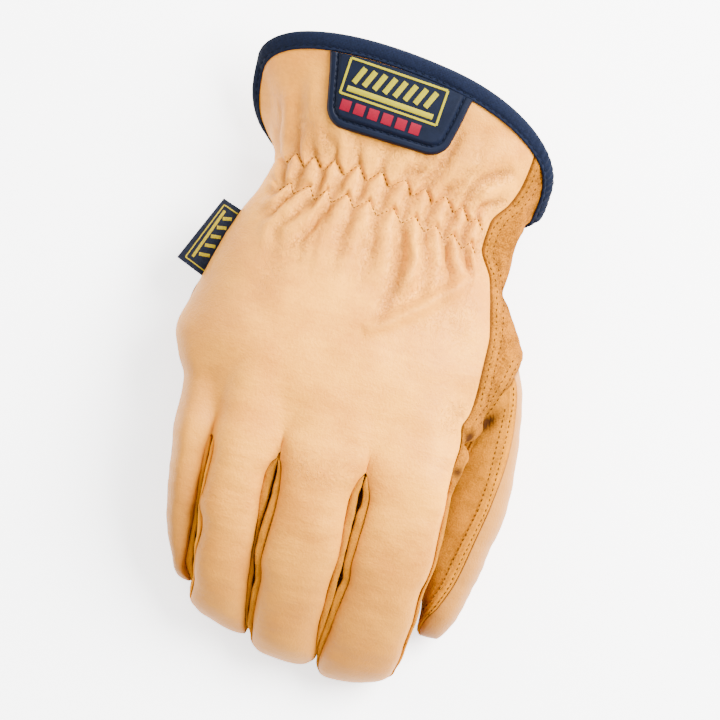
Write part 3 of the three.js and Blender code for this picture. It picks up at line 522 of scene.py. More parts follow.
# The gathers at the wrist: where each pucker's ridge and the valley to its right lie on four lines
GATHER_COLUMNS = (
    "ridgeAbove valleyAbove ridge1x ridge1y valley1x valley1y "
    "ridge2x ridge2y valley2x valley2y ridgeBelow valleyBelow"
)
GATHERS = table(GATHER_COLUMNS, [
    (-47, -44, -44.0, 64.5, -40.3, 61.0, -42.6, 54.5, -40.3, 51.0, -56, -53),
    (-41, -37.5, -37.3, 65.5, -33.8, 61.2, -36.6, 55.0, -35.1, 51.0, -49, -46),
    (-34, -31.5, -30.8, 65.8, -26.8, 61.2, -30.0, 55.3, -27.2, 50.5, -41.5, -37.5),
    (-29, -24, -23.7, 66.0, -19.3, 61.4, -23.7, 55.5, -21.3, 51.0, -33, -28),
    (-19, -12, -15.3, 66.3, -11.3, 61.4, -16.5, 55.6, -13.2, 51.0, -20.5, -15),
    (-5, 2, -6.8, 66.2, -3.3, 61.3, -8.8, 55.3, -4.8, 50.5, -9.5, -4),
    (10, 11.5, 2.0, 65.3, 5.3, 60.0, 0.3, 54.6, 4.0, 50.0, 1.5, 7.3),
    (15, 20, 9.4, 64.0, 13.0, 59.2, 8.3, 53.7, 12.5, 49.0, 12, 16),
    (25, 29, 17.0, 63.0, 20.8, 58.0, 16.0, 52.5, 19.8, 47.8, 20.5, 24.5),
    (33, 36.5, 23.5, 61.0, 27.0, 56.2, 22.5, 51.0, 26.8, 46.5, 29, 33),
    (40, 44, 29.5, 58.2, 32.5, 54.5, 29.0, 49.5, 32.0, 46.0, 36, 40),
])
ABOVE_LINE = 78.0
BELOW_LINE = 38.0
PUCKER_ABOVE = 2.7
PUCKER_BETWEEN = 2.5
PUCKER_BELOW = 2.8
# The elastic's thread pins the leather down along both zigzags, and the whole band lies deeper
PINNED = 0.72
PIN_WIDTH = 0.8
BAND_DEPTH = 0.9


def gather_line(ridge_x, valley_x, ridge_y=None, valley_y=None):
    """Ridge and valley places in turn, as arrays of x, count of puckers and y."""
    x = np.column_stack([ridge_x, valley_x]).ravel()
    count = np.arange(len(x)) / 2
    if ridge_y is None:
        return x, count
    return x, count, np.column_stack([ridge_y, valley_y]).ravel()


def ridge(count, power=1.0):
    """1 on the puckers' ridges, at whole counts, and 0 in the valleys between them."""
    return np.abs(np.cos(np.pi * count)) ** power


def gathers(x, y):
    """Height of the wrist's puckers and how deep in a crease a point lies."""
    g = GATHERS
    x1, n, y1 = gather_line(g["ridge1x"], g["valley1x"], g["ridge1y"], g["valley1y"])
    x2, _, y2 = gather_line(g["ridge2x"], g["valley2x"], g["ridge2y"], g["valley2y"])
    above_x, _ = gather_line(g["ridgeAbove"], g["valleyAbove"])
    below_x, _ = gather_line(g["ridgeBelow"], g["valleyBelow"])
    wandering = x + 0.5 * uneven(x, y, 9, 0.4)
    line1, line2 = np.interp(x, x1, y1), np.interp(x, x2, y2)
    counts = [np.interp(wandering, places, n) for places in (above_x, x1, x2, below_x)]
    from_above = smooth(y, line1, ABOVE_LINE)
    upper = counts[1] + (counts[0] - counts[1]) * from_above
    share = np.clip((line1 - y) / np.maximum(line1 - line2, 1), 0, 1)
    between = counts[1] + (counts[2] - counts[1]) * share
    share = np.clip((line2 - y) / (line2 - BELOW_LINE), 0, 1)
    lower = counts[2] + (counts[3] - counts[2]) * share
    is_above = smooth(y - line1, -0.5, 0.5)
    is_below = smooth(line2 - y, -0.5, 0.5)
    is_between = (1 - is_above) * (1 - is_below)
    # The puckers above run out further towards the thumb
    fade_above = np.exp(-np.maximum(y - line1, 0) / (10.5 + 3 * smooth(x, -10, 25)))
    fade_below = 1 - smooth(line2 - y, 2, 31)
    # Above the upper row the ridges run into the valleys of its zigzag
    top = PUCKER_ABOVE * fade_above * ridge(upper + 0.5)
    puff = PUCKER_BETWEEN * ridge(between, 1.35)
    cone = PUCKER_BELOW * fade_below * ridge(lower, 1.2)
    height = is_above * top + is_between * puff + is_below * cone
    # The zigzags' legs lean, so the distance from them is about 0.72 of that along y
    near1, near2 = (y - line1) * 0.72, (y - line2) * 0.72
    pinned = 1 - PINNED * bell(near1, 0, PIN_WIDTH) - PINNED * bell(near2, 0, PIN_WIDTH)
    drawn = is_between + is_above * fade_above + is_below * fade_below
    valley = is_above * fade_above * (1 - ridge(upper + 0.5)) + is_between * (1 - ridge(between))
    valley = valley + is_below * fade_below * (1 - ridge(lower))
    reach = smooth(x, -47, -41) * (1 - smooth(x, 30, 34.5))
    height = (height * np.maximum(pinned, 0.2) - BAND_DEPTH * drawn) * reach
    return height, np.clip(valley, 0, 1) * reach


# Creases and folds of the back: path seen from above, width and height
BACK_FOLDS = [
    ([(0.5, 66), (4, 68), (9, 70.5)], 1.3, -1.1),
    ([(7, 65), (10.5, 69), (13, 74), (15.5, 80), (17.5, 87)], 1.6, -1.3),
    ([(23, 62), (25, 67), (28, 71.5), (33, 74.5), (38.5, 77.5)], 1.7, -1.7),
    ([(28, 59), (30, 62.5), (34, 65), (38.5, 67)], 1.4, -1.3),
    ([(17, 66), (22, 74), (30, 80), (38, 82)], 3.2, 1.4),
    ([(24, 61), (28, 67), (34, 71), (40, 73)], 2.8, 1.2),
    ([(-26, 66), (-28.5, 71), (-30.5, 77)], 1.8, -0.7),
    ([(-37.5, 66), (-38.5, 74), (-41, 83), (-43, 92)], 2.6, -0.9),
    ([(-33, 67), (-34, 76), (-36.5, 86), (-38, 96)], 2.4, 0.8),
    ([(-48.5, 85), (-46.6, 78), (-45.6, 72), (-44.5, 66)], 0.8, -0.8),
    ([(-46, 86), (-43.5, 77), (-42.5, 68)], 2.2, 0.7),
    ([(-20, 76), (-10, 74), (0, 74.5), (8, 76)], 2.5, -0.6),
    ([(22, 84), (28, 88), (33, 93)], 3, -0.6),
    ([(-21.5, 50.5), (-25, 44), (-28.5, 37), (-33, 30)], 1.2, -0.9),
    ([(-35, 50.5), (-40, 46), (-47, 40)], 1.3, -0.7),
    ([(4.2, 49.5), (6.5, 45), (7.6, 38), (7.4, 31)], 1.3, -0.7),
    ([(20, 47), (22.5, 42), (25, 36)], 1.2, -0.6),
    ([(27, 46), (29.5, 42), (33, 37)], 1.2, -0.5),
    ([(3.5, 48), (6, 40), (6.8, 30), (6, 20), (4, 13)], 2.2, -1.6),
    ([(-1, 46), (1, 36), (0.5, 26)], 3.2, 1.0),
    ([(11, 45), (11.5, 36), (9.5, 26)], 2.6, 1.3),
    ([(34.5, 39), (27.5, 32.5), (18.5, 24), (10.5, 17.5), (4, 12.8), (0, 10.5)], 2.6, 2.7),
    ([(24.5, 39.5), (17, 29.5), (10, 22), (4.5, 16.5)], 3.6, -1.3),
    ([(36, 30), (29, 23), (21, 16), (12, 10)], 4.5, -0.5),
    ([(-30, 36), (-37, 24), (-42, 8)], 6, -0.7),
    ([(-13, 40), (-15, 28), (-12, 12)], 5, 0.5),
    ([(30, 26), (34, 10), (33, -8)], 6, -0.4),
    ([(34.5, -5), (38.5, -9), (42.5, -13)], 0.8, -0.55),
    ([(38, -4.5), (40.5, -8.5), (43, -12.5)], 0.7, -0.5),
    ([(36, -8.5), (39, -10.8), (42.5, -13.3)], 0.55, -0.4),
    ([(35, -12), (39, -12.8), (42.5, -13.8)], 0.7, -0.45),
    ([(36.5, -16), (39.5, -15.4), (42.5, -14.8)], 0.6, -0.35),
    ([(36.5, -25), (39.5, -27), (42.3, -29)], 0.6, -0.35),
    ([(36, -28.5), (39, -29), (42.3, -29.8)], 0.6, -0.35),
    ([(12.0, -27), (12.6, -32), (13.2, -37.5)], 0.5, -0.16),
    ([(15.8, -28), (14.6, -33), (13.4, -37.5)], 0.5, -0.14),
    ([(8, -38.5), (10.5, -38.2), (13, -38.5)], 0.5, -0.14),
    ([(-21, -33.5), (-19.2, -36), (-17.8, -39)], 0.5, -0.14),
    ([(-14.5, -33.5), (-16, -36), (-17.4, -39)], 0.5, -0.14),
    ([(-9.5, -43.5), (-5, -43.6), (0, -42.6), (5, -41)], 0.5, -0.14),
    ([(-8, -45.2), (-3, -45), (2, -44)], 0.5, -0.12),
    ([(3, -36), (7, -38), (10, -39.6)], 0.5, -0.13),
    ([(-14, -33), (-11, -34.6), (-8.5, -37)], 0.5, -0.12),
    ([(17, -37), (21, -38.5), (26, -38)], 0.5, -0.12),
    ([(-37, -38), (-33, -39.5), (-28, -39)], 0.5, -0.12),
]

# The width from which a fold counts as broad, and a crease's greatest width and least depth
BROAD_FOLD = 3
CREASE_WIDTH = 2.5
CREASE_DEPTH = 0.2


def back_relief(x, y):
    """Height of the back's folds above the pattern, and how creased and wrinkled each point is."""
    height, valley = gathers(x, y)
    hollow = valley
    for path, width, size in BACK_FOLDS:
        bend = fold(x, y, path, width, size)
        height = height + bend
        # A broad fold wrinkles less, and only narrow, deep ones are painted with crease shade
        hollow = np.maximum(hollow, np.clip(-bend, 0, 1) * (1.0 if width < BROAD_FOLD else 0.5))
        if size < -CREASE_DEPTH and width < CREASE_WIDTH:
            valley = np.maximum(valley, np.clip(-bend / 1.3, 0, 1))
    height = height + 0.22 * uneven(x, y, 26, 1.1) + 0.1 * uneven(x, y, 11, 2.3)
    # Fine crumpling where the elastic pulls the leather in
    gathered = smooth(y, 22, 46) * (1 - smooth(y, 68, 84))
    crumpled = uneven(x + 0.8 * uneven(x, y, 6, 0.9), 0.6 * y, 2.6, 5.0)
    height = height + 0.13 * crumpled * gathered * (0.35 + 0.65 * np.sqrt(valley))
    # Fine wrinkles round the gathers, between the middle slits and where the side seam pulls
    drawn_in = smooth(y, 4, 30) * (1 - smooth(y, 74, 92)) * smooth(x, -46, -34)
    wrinkled = drawn_in * (0.12 * smooth(y, 20, 42) + 0.88 * hollow**0.7)
    wrinkled = wrinkled + 0.25 * np.exp(-(((x + 3) / 15) ** 4)) * bell(y, -40, 6)
    wrinkled = wrinkled + 0.6 * bell(x, 39, 5) * bell(y, -11, 6)
    return height, valley, np.clip(wrinkled, 0, 1)


# Mesh
class Sheets:
    """Sheets of outer points with inner ones behind them, closed along their free edges into one wall."""

    def __init__(self):
        self.outer = []
        self.inner = []
        self.faces = []
        self.count = 0
        self.marks = {"painted_crease_shade": [], "seam": [], "painted_light_and_tone": [], "wrinkled": []}

    def add(self, outer, inner, painted_crease_shade=0.0, seam=0.0, painted_light_and_tone=0.5, wrinkled=0.0, root=None, keep=None):
        """Adds a sheet with its marks and returns its points' numbers. root holds the numbers of points that
        take the place of its first row, and keep says which of its faces stay."""
        rows, columns = outer.shape[:2]
        values = dict(painted_crease_shade=painted_crease_shade, seam=seam, painted_light_and_tone=painted_light_and_tone, wrinkled=wrinkled)
        first = 0 if root is None else 1
        size = (rows - first) * columns
        ids = self.count + np.arange(size).reshape(rows - first, columns)
        if root is not None:
            ids = np.vstack([root, ids])
        self.outer.append(outer[first:].reshape(-1, 3))
        self.inner.append(inner[first:].reshape(-1, 3))
        for name, value in values.items():
            full = np.broadcast_to(value, (rows, columns))
            self.marks[name].append(full[first:].ravel())
        self.count += size
        quads = np.stack([ids[:-1, :-1], ids[1:, :-1], ids[1:, 1:], ids[:-1, 1:]], -1)
        quads = quads[keep] if keep is not None else quads.reshape(-1, 4)
        self.faces.append(quads)
        return ids

    def build(self, name, materials, sharp=50):
        """A closed mesh: outer faces in the first material, inner faces and edges in the second."""
        outer = np.vstack(self.outer)
        inner = np.vstack(self.inner)
        faces = np.vstack(self.faces)
        used = np.unique(faces)
        renumber = np.full(len(outer), -1)
        renumber[used] = np.arange(len(used))
        faces = renumber[faces]
        outer, inner = outer[used], inner[used]
        count = len(outer)
        edges = np.concatenate([faces[:, [0, 1]], faces[:, [1, 2]], faces[:, [2, 3]], faces[:, [3, 0]]])
        key = edges[:, 0] * count + edges[:, 1]
        back = edges[:, 1] * count + edges[:, 0]
        free = edges[~np.isin(key, back)]
        border = np.stack([free[:, 1], free[:, 0], free[:, 0] + count, free[:, 1] + count], -1)
        quads = np.vstack([faces, faces[:, ::-1] + count, border])
        points = np.vstack([outer, inner])
        if volume_of(points, quads) < 0:
            quads = quads[:, ::-1]
        marks = {key: np.concatenate(value)[used] for key, value in self.marks.items()}
        marks = {key: np.concatenate([value, value * (key == "painted_light_and_tone")]) for key, value in marks.items()}
        material = np.zeros(len(quads), int)
        material[len(faces):] = 1
        return make_mesh(name, points, quads.tolist(), materials, marks, material, sharp)


def volume_of(points, quads):
    """Six times the volume inside a closed mesh, below 0 if its faces look inwards."""
    a, b, c, d = (points[quads[:, i]] for i in range(4))
    return np.sum(a * (np.cross(b, c) + np.cross(c, d)))


def make_mesh(name, points, faces, materials, marks=None, material=None, sharp=50):
    """An object from points in the pattern's millimetres. Edges sharper than the given angle stay sharp."""
    mesh = bpy.data.meshes.new(name)
    corners = (np.asarray(points) + SHIFT) * MM
    mesh.from_pydata(corners.tolist(), [], faces)
    mesh.validate()
    for key, values in (marks or {}).items():
        mesh.attributes.new(key, "FLOAT", "POINT").data.foreach_set("value", values.astype(np.float32))
    for finish in materials:
        mesh.materials.append(finish)
    if material is not None:
        mesh.polygons.foreach_set("material_index", material.astype(np.int32))
    mesh.shade_smooth()
    mesh.set_sharp_from_angle(angle=math.radians(sharp))
    piece = bpy.data.objects.new(name, mesh)
    bpy.context.collection.objects.link(piece)
    return piece


def assign(piece, slot, *nodes):
    """The piece rides on the glove and stands for the given nodes; its finish slot is not used."""
    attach(piece, "root")
    if nodes:
        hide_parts(*nodes)


def surface_tree(*pieces):
    """A tree of the given pieces' faces, to find what lies under a point seen from above."""
    points, faces = [], []
    for piece in pieces:
        start = len(points)
        points.extend([v.co.copy() for v in piece.data.vertices])
        faces.extend([[start + i for i in p.vertices] for p in piece.data.polygons])
    return BVHTree.FromPolygons(points, faces)


def seen_from_above(tree, x, y):
    """The point and the normal of what lies under a place seen from above, in millimetres, or None."""
    origin = (np.array([x, y, ABOVE_GLOVE]) + SHIFT) * MM
    hit, normal, _, _ = tree.ray_cast(Vector(origin), Vector((0, 0, -1)))
    return None if hit is None else (np.array(hit) / MM - SHIFT, np.array(normal))


def tube_faces(start, rings, count):
    """Faces of a closed tube: rings of points one after the other from a start, and both ends."""
    faces = []
    for r in range(rings - 1):
        for a in range(count):
            p, q = start + r * count + a, start + r * count + (a + 1) % count
            faces.append((p, q, q + count, p + count))
    faces.append(tuple(range(start + count - 1, start - 1, -1)))
    last = start + (rings - 1) * count
    faces.append(tuple(range(last, last + count)))
    return faces


# Materials
def colour(text):
    """Linear colour from an sRGB hex value."""
    parts = [int(text[i:i + 2], 16) / 255 for i in (1, 3, 5)]
    return [c / 12.92 if c <= 0.04045 else ((c + 0.055) / 1.055) ** 2.4 for c in parts] + [1.0]


def node(tree, kind, inputs=(), **settings):
    """Adds a node, sets its properties, and links or fills its inputs by name or number. A node given as an
    input stands for its first output. By number, a mix has its factor at 0 and its colours at 6 and 7, a
    map range has its limits at 1 to 4, and a mapping has its scale at 3."""
    made = tree.nodes.new(kind)
    for name, value in settings.items():
        setattr(made, name, value)
    for name, value in dict(inputs).items():
        if isinstance(value, bpy.types.Node):
            value = value.outputs[0]
        if isinstance(value, bpy.types.NodeSocket):
            tree.links.new(value, made.inputs[name])
        else:
            made.inputs[name].default_value = value
    return made


def new_material(name, roughness, **fixed):
    """An empty material with its shader's constants set on the sockets."""
    material = bpy.data.materials.new(name)
    material.use_nodes = True
    tree = material.node_tree
    shader = tree.nodes["Principled BSDF"]
    shader.inputs["Roughness"].default_value = roughness
    for key, value in fixed.items():
        shader.inputs[key.replace("_", " ")].default_value = value
    return material, tree, shader


def join_shader(tree, shader, **outputs):
    """Links outputs to the shader's inputs of the same names."""
    for key, output in outputs.items():
        tree.links.new(output, shader.inputs[key.replace("_", " ")])


def set_stops(ramp, low, dark, high, light):
    """Sets the places and the colours of a ramp's two stops."""
    for stop, place, text in zip(ramp.color_ramp.elements, (low, high), (dark, light)):
        stop.position = place
        stop.color = colour(text)


def millimetres(tree, stretch=(1, 1, 1)):
    """Object coordinates in millimetres, stretched."""
    place = node(tree, "ShaderNodeTexCoord")
    return node(tree, "ShaderNodeMapping", {0: place.outputs["Object"], 3: [1000 * s for s in stretch]})


def grain_leather():
    """Cowhide with its grain kept, drummed soft and lightly finished: pale tan, satin, with a fine pebble
    that opens into wrinkles where the leather is gathered, and painted shade in the creases and wrinkle
    lines."""
    material, tree, shader = new_material("soft_grain_cowhide", 0.5, Specular_IOR_Level=0.22)
    place = millimetres(tree)
    painted_light_and_tone, painted_crease_shade, seam, wrinkled = (
        node(tree, "ShaderNodeAttribute", attribute_name=name).outputs["Fac"]
        for name in ("painted_light_and_tone", "painted_crease_shade", "seam", "wrinkled")
    )
    # Cloudy dye, 20 to 30 mm across, and a fine mottle of about 1 mm
    cloud = node(tree, "ShaderNodeTexNoise", {"Vector": place, "Scale": 0.045, "Detail": 3.0})
    mottle = node(tree, "ShaderNodeTexNoise", {"Vector": place, "Scale": 0.8, "Detail": 2.0})
    # Faint wrinkles across the fingers, 2.5 mm apart and seven times as long
    wrinkle = node(tree, "ShaderNodeTexNoise", {
        "Vector": millimetres(tree, (0.14, 1, 1)), "Scale": 0.42, "Detail": 3.0, "Distortion": 0.4,
    })
    blend = node(tree, "ShaderNodeMath", {0: cloud, 1: 0.62}, operation="MULTIPLY")
    for pattern, share in ((mottle, 0.22), (wrinkle, 0.16)):
        blend = node(tree, "ShaderNodeMath", {0: pattern, 1: share, 2: blend}, operation="MULTIPLY_ADD")
    base = node(tree, "ShaderNodeValToRGB", {0: blend})
    set_stops(base, 0.39, "#cb7e15", 0.61, "#e7991f")
    # Meandering wrinkle lines about 1.2 mm apart, longer along the glove than across it
    swell = node(tree, "ShaderNodeTexNoise", {
        "Vector": millimetres(tree, (1, 0.55, 1)), "Scale": 0.65, "Detail": 2.5, "Distortion": 1.4,
    })
    level = node(tree, "ShaderNodeMath", {0: swell, 1: 0.5}, operation="SUBTRACT")
    level = node(tree, "ShaderNodeMath", {0: level}, operation="ABSOLUTE")
    line = node(tree, "ShaderNodeMapRange", {0: level, 1: 0.0, 2: 0.035, 3: 1.0, 4: 0.0})
    line = node(tree, "ShaderNodeMath", {0: line, 1: wrinkled}, operation="MULTIPLY")
    # Painted shade towards the fingertips and sides, and in creases and wrinkle lines; brown at the seams'
    # cut edges
    painted_depth_shade = node(tree, "ShaderNodeMath", {0: painted_crease_shade, 1: 0.62}, operation="MULTIPLY")
    painted_line_shade = node(tree, "ShaderNodeMath", {0: line, 1: 0.7}, operation="MULTIPLY")
    shade = node(tree, "ShaderNodeMix", {0: painted_light_and_tone, 6: colour("#9c641e"), 7: base}, data_type="RGBA")
    for amount, tint in ((painted_depth_shade, "#9a5c17"), (painted_line_shade, "#8a5a1c"), (seam, "#4a2a14")):
        below = shade.outputs[2]
        shade = node(tree, "ShaderNodeMix", {0: amount, 6: below, 7: colour(tint)}, data_type="RGBA")
    # Pebbles of about 0.7 mm; real cowhide's are 0.3 to 0.6 mm, drawn coarser so that they show
    pebble = node(tree, "ShaderNodeTexVoronoi", {"Vector": place, "Scale": 1.5}, feature="SMOOTH_F1")
    fine = node(tree, "ShaderNodeTexNoise", {"Vector": place, "Scale": 2.6, "Detail": 3.0})
    # Crumpled wrinkles of about 1.3 mm in the gathers
    crumple = node(tree, "ShaderNodeTexNoise", {
        "Vector": place, "Scale": 0.75, "Detail": 2.0, "Distortion": 1.5,
    })
    crumple = node(tree, "ShaderNodeMath", {0: crumple, 1: painted_crease_shade}, operation="MULTIPLY")
    height = node(tree, "ShaderNodeMath", {0: pebble, 1: 0.9}, operation="MULTIPLY")
    for pattern, size in ((fine, 0.5), (wrinkle, 1.1), (crumple, 9.0), (line, -5.0)):
        height = node(tree, "ShaderNodeMath", {0: pattern, 1: size, 2: height}, operation="MULTIPLY_ADD")
    bump = node(tree, "ShaderNodeBump", {"Strength": 0.6, "Distance": 0.0002, "Height": height})
    gloss = node(tree, "ShaderNodeMapRange", {0: mottle, 3: 0.44, 4: 0.6})
    join_shader(tree, shader, Base_Color=shade.outputs[2], Normal=bump.outputs[0], Roughness=gloss.outputs[0])
    return material


def suede(name, dark, light, nap):
    """Split leather buffed on its flesh side: deeper orange tan, matt, mottled where the nap lies different
    ways, with a fine fibrous surface and a soft sheen at glancing angles."""
    material, tree, shader = new_material(
        name, 0.95, Specular_IOR_Level=0.03, Sheen_Weight=0.03, Sheen_Roughness=0.6,
        Sheen_Tint=colour("#ffb060"),
    )
    place = millimetres(tree)
    painted_light_and_tone, painted_crease_shade, seam = (
        node(tree, "ShaderNodeAttribute", attribute_name=key).outputs["Fac"]
        for key in ("painted_light_and_tone", "painted_crease_shade", "seam")
    )
    # Brushed patches of about 5 mm and a speckle of 0.6 mm
    patches = node(tree, "ShaderNodeTexNoise", {
        "Vector": place, "Scale": 0.2, "Detail": 4.0, "Roughness": 0.65,
    })
    speckle = node(tree, "ShaderNodeTexNoise", {
        "Vector": place, "Scale": 1.6, "Detail": 4.0, "Roughness": 0.7,
    })
    blend = node(tree, "ShaderNodeMath", {0: patches, 1: 0.45}, operation="MULTIPLY")
    blend = node(tree, "ShaderNodeMath", {0: speckle, 1: 0.55, 2: blend}, operation="MULTIPLY_ADD")
    base = node(tree, "ShaderNodeValToRGB", {0: blend})
    set_stops(base, 0.39, dark, 0.585, light)
    # Painted highlight on raised lips and seam bands, painted shade in creases and hollows, brown at the
    # seams' cut edges
    shade = base.outputs[0]
    for amount, tint in ((painted_light_and_tone, "#d98a00"), (painted_crease_shade, "#3c200c"), (seam, "#55300f")):
        mixed = node(tree, "ShaderNodeMix", {0: amount, 6: shade, 7: colour(tint)}, data_type="RGBA")
        shade = mixed.outputs[2]
    # Nap of 0.35 mm tufts, three times the real fibre bundles, so that it shows
    fibre = node(tree, "ShaderNodeTexNoise", {
        "Vector": place, "Scale": 2.8, "Detail": 5.0, "Roughness": 0.75,
    })
    height = node(tree, "ShaderNodeMath", {0: patches, 1: 1.4, 2: fibre}, operation="MULTIPLY_ADD")
    bump = node(tree, "ShaderNodeBump", {"Strength": nap, "Distance": 0.0004, "Height": height})
    join_shader(tree, shader, Base_Color=shade, Normal=bump.outputs[0])
    return material


def woven(name, dark, light, thread):
    """Woven cotton or polyester tape: two sets of threads that pass over each other, matt, with a little
    fuzz. thread is the spacing of the threads in millimetres."""
    material, tree, shader = new_material(name, 0.85, Specular_IOR_Level=0.1)
    place = millimetres(tree)
    # At a scale of 1 the bands repeat every 2 pi / 20 millimetres
    count = 2 * math.pi / thread / 20
    warp, weft = (
        node(tree, "ShaderNodeTexWave", {
            "Vector": place, "Scale": count, "Distortion": 0.6, "Detail": 1.0,
        }, bands_direction=way).outputs["Fac"]
        for way in "XY"
    )
    cross = node(tree, "ShaderNodeMath", {0: warp, 1: weft}, operation="MAXIMUM")
    fuzz = node(tree, "ShaderNodeTexNoise", {"Vector": place, "Scale": 1.4, "Detail": 4.0})
    blend = node(tree, "ShaderNodeMath", {0: cross, 1: 0.35, 2: fuzz}, operation="MULTIPLY_ADD")
    base = node(tree, "ShaderNodeValToRGB", {0: blend})
    set_stops(base, 0.4, dark, 0.95, light)
    bump = node(tree, "ShaderNodeBump", {"Strength": 0.6, "Distance": 0.0002, "Height": blend})
    join_shader(tree, shader, Base_Color=base.outputs[0], Normal=bump.outputs[0])
    return material


def moulded_rubber(name, dark, light):
    """Soft PVC rubber moulded in one piece: even colour, a satin skin and very slight flow marks."""
    material, tree, shader = new_material(name, 0.5, Specular_IOR_Level=0.1)
    place = millimetres(tree)
    flow = node(tree, "ShaderNodeTexNoise", {"Vector": place, "Scale": 0.3, "Detail": 3.0})
    base = node(tree, "ShaderNodeMix", {0: flow, 6: colour(dark), 7: colour(light)}, data_type="RGBA")
    skin = node(tree, "ShaderNodeTexNoise", {"Vector": place, "Scale": 3.0, "Detail": 3.0})
    bump = node(tree, "ShaderNodeBump", {"Strength": 0.3, "Distance": 0.00012, "Height": skin})
    gloss = node(tree, "ShaderNodeMapRange", {0: flow, 3: 0.42, 4: 0.58})
    join_shader(tree, shader, Base_Color=base.outputs[2], Normal=bump.outputs[0], Roughness=gloss.outputs[0])
    return material


def sewing_thread(name, dark, light):
    """Twisted polyester thread: fine slanting plies and a slight gloss."""
    material, tree, shader = new_material(name, 0.8, Specular_IOR_Level=0.03)
    plies = node(tree, "ShaderNodeTexWave", {
        "Vector": millimetres(tree), "Scale": 1.0, "Distortion": 0.5,
    }, bands_direction="DIAGONAL").outputs["Fac"]
    base = node(tree, "ShaderNodeMix", {0: plies, 6: colour(dark), 7: colour(light)}, data_type="RGBA")
    bump = node(tree, "ShaderNodeBump", {"Strength": 0.4, "Distance": 0.0001, "Height": plies})
    join_shader(tree, shader, Base_Color=base.outputs[2], Normal=bump.outputs[0])
    return material


GRAIN = grain_leather()
SUEDE = suede("buffed_split_suede", "#5c3200", "#9a5c04", 0.8)
FLESH = suede("raw_flesh_side", "#7a5026", "#9c6c38", 0.5)
BINDING = woven("navy_binding_tape", "#030713", "#0a1124", 0.55)
RUBBER = moulded_rubber("navy_pvc_rubber", "#060a16", "#0a1122")
YELLOW = moulded_rubber("pale_yellow_pvc", "#80760e", "#8f850f")
RED = moulded_rubber("red_pvc", "#65061a", "#720820")
TAG_CLOTH = woven("damask_tag_ribbon", "#090b12", "#141824", 0.4)
TAG_YELLOW = woven("damask_tag_stripe", "#6e5c08", "#93800f", 0.4)
THREAD = sewing_thread("brown_polyester_thread", "#2b1606", "#4a2a0e")
DARK_THREAD = sewing_thread("navy_polyester_thread", "#070910", "#141824")
SUEDE_THREAD = sewing_thread("tan_polyester_thread", "#3a2008", "#5c3810")

# How far the cut edges roll over at the seams, and how far they are drawn back from each other
ROLL = 0.55
SLIT_ROLL = 0.5
DRAW_BACK = 0.12
# The rows of points lie closest at the fingertips, and the columns at the seams
TIP_CROWD = 1.25
EDGE_CROWD = 0.72
# Over this share of its length, from the root, a slit opens
SLIT_OPENING = 0.08
# The suede's inner side stays this far above the floor
INNER_FLOOR = 0.6
GRAIN_MATERIALS = [GRAIN, FLESH]
SUEDE_MATERIALS = [SUEDE, FLESH]


def spread(count, crowd):
    """Shares from 0 to 1, closer together at both ends as crowd goes from 0 to 1."""
    u = np.linspace(0, 1, count + 1)
    return u - crowd * np.sin(2 * np.pi * u) / (2 * np.pi)


def towards_end(shares, power):
    """Shares from 0 to 1 drawn closer together towards 1."""
    return 1 - (1 - shares) ** power


def seam_line(distance, width=0.38):
    """Darkening of the cut edge in a seam."""
    return 1 - smooth(distance, 0.02, width)


# Back of the hand and fingers, one piece of grain leather
BACK_COUNT = 40
HAND_STATIONS = np.linspace(CUFF_EDGE, FINGER_ROOT, 171)[:, None]
FINGER_SHARES = towards_end(np.linspace(0, 1, 121), TIP_CROWD)[:, None]

# Beside the index finger's root the seam runs in waves, and the suede below it in ruffles: place along the
# glove, width and size of each
SEAM_WAVES = [(-13.8, 3.0, -1.9), (-22.5, 3.2, 1.2), (-30.0, 2.2, -0.6)]
RUFFLE_WAVES = [(-14.5, 4.5, 2.4), (-19.2, 1.1, -1.9), (-23.6, 2.6, 1.6), (-29.0, 5.0, 1.7)]


def waves(y, bumps):
    """The sum of smooth bumps, each with its place, width and height."""
    return sum(size * bell(y, place, width) for place, width, size in bumps)


def left_seam(station):
    """The angle of the seam on the little finger's side, which lies lower at the cuff."""
    return 180 + 42 * smooth(station, 46, 66)


def root_blend(station):
    """0 over the hand and 1 at the fingers' roots."""
    return smooth(KNUCKLE_START - station, 0, KNUCKLE_START - FINGER_ROOT)


def root_row(f, palm, across, inset):
    """A finger's root section. The first finger has both of its ends, the others share theirs. On the inner
    side of the leather the point in a slit moves up the hand and away from the skin."""
    root = finger_face(NAMES[f], 0.0, palm, across[min(f, 1):], inset)
    if inset and f < 3:
        crotch = finger_face(NAMES[f], 0.0, palm, np.array([1.0]), 0.0)[0]
        root[-1] = crotch + np.array([0, inset, inset if palm else -inset])
    return root


def back_of_hand(inset):
    """The back of the hand from the cuff's edge to the finger roots, a stretch of columns for each finger."""
    station = HAND_STATIONS
    s = column_of(HAND, "y", station)
    borders = [s["left"], s["ring"], s["middle"], s["index"], s["seam"] + waves(station, SEAM_WAVES)]
    blend = root_blend(station)
    angles, roots = [], []
    for f in range(4):
        u = np.linspace(0, 1, BACK_COUNT + 1)[min(f, 1):]
        across = u - EDGE_CROWD * blend * np.sin(2 * np.pi * u) / (2 * np.pi)
        start = hand_angle(station, borders[f]) if f else left_seam(station)
        stop = hand_angle(station, borders[f + 1])
        angles.append(start + (stop - start) * across)
        roots.append(root_row(f, False, spread(BACK_COUNT, EDGE_CROWD), inset))
    hand = hand_skin(station, np.concatenate(angles, 1), inset)
    return join_roots(hand, np.concatenate(roots), station, blend)


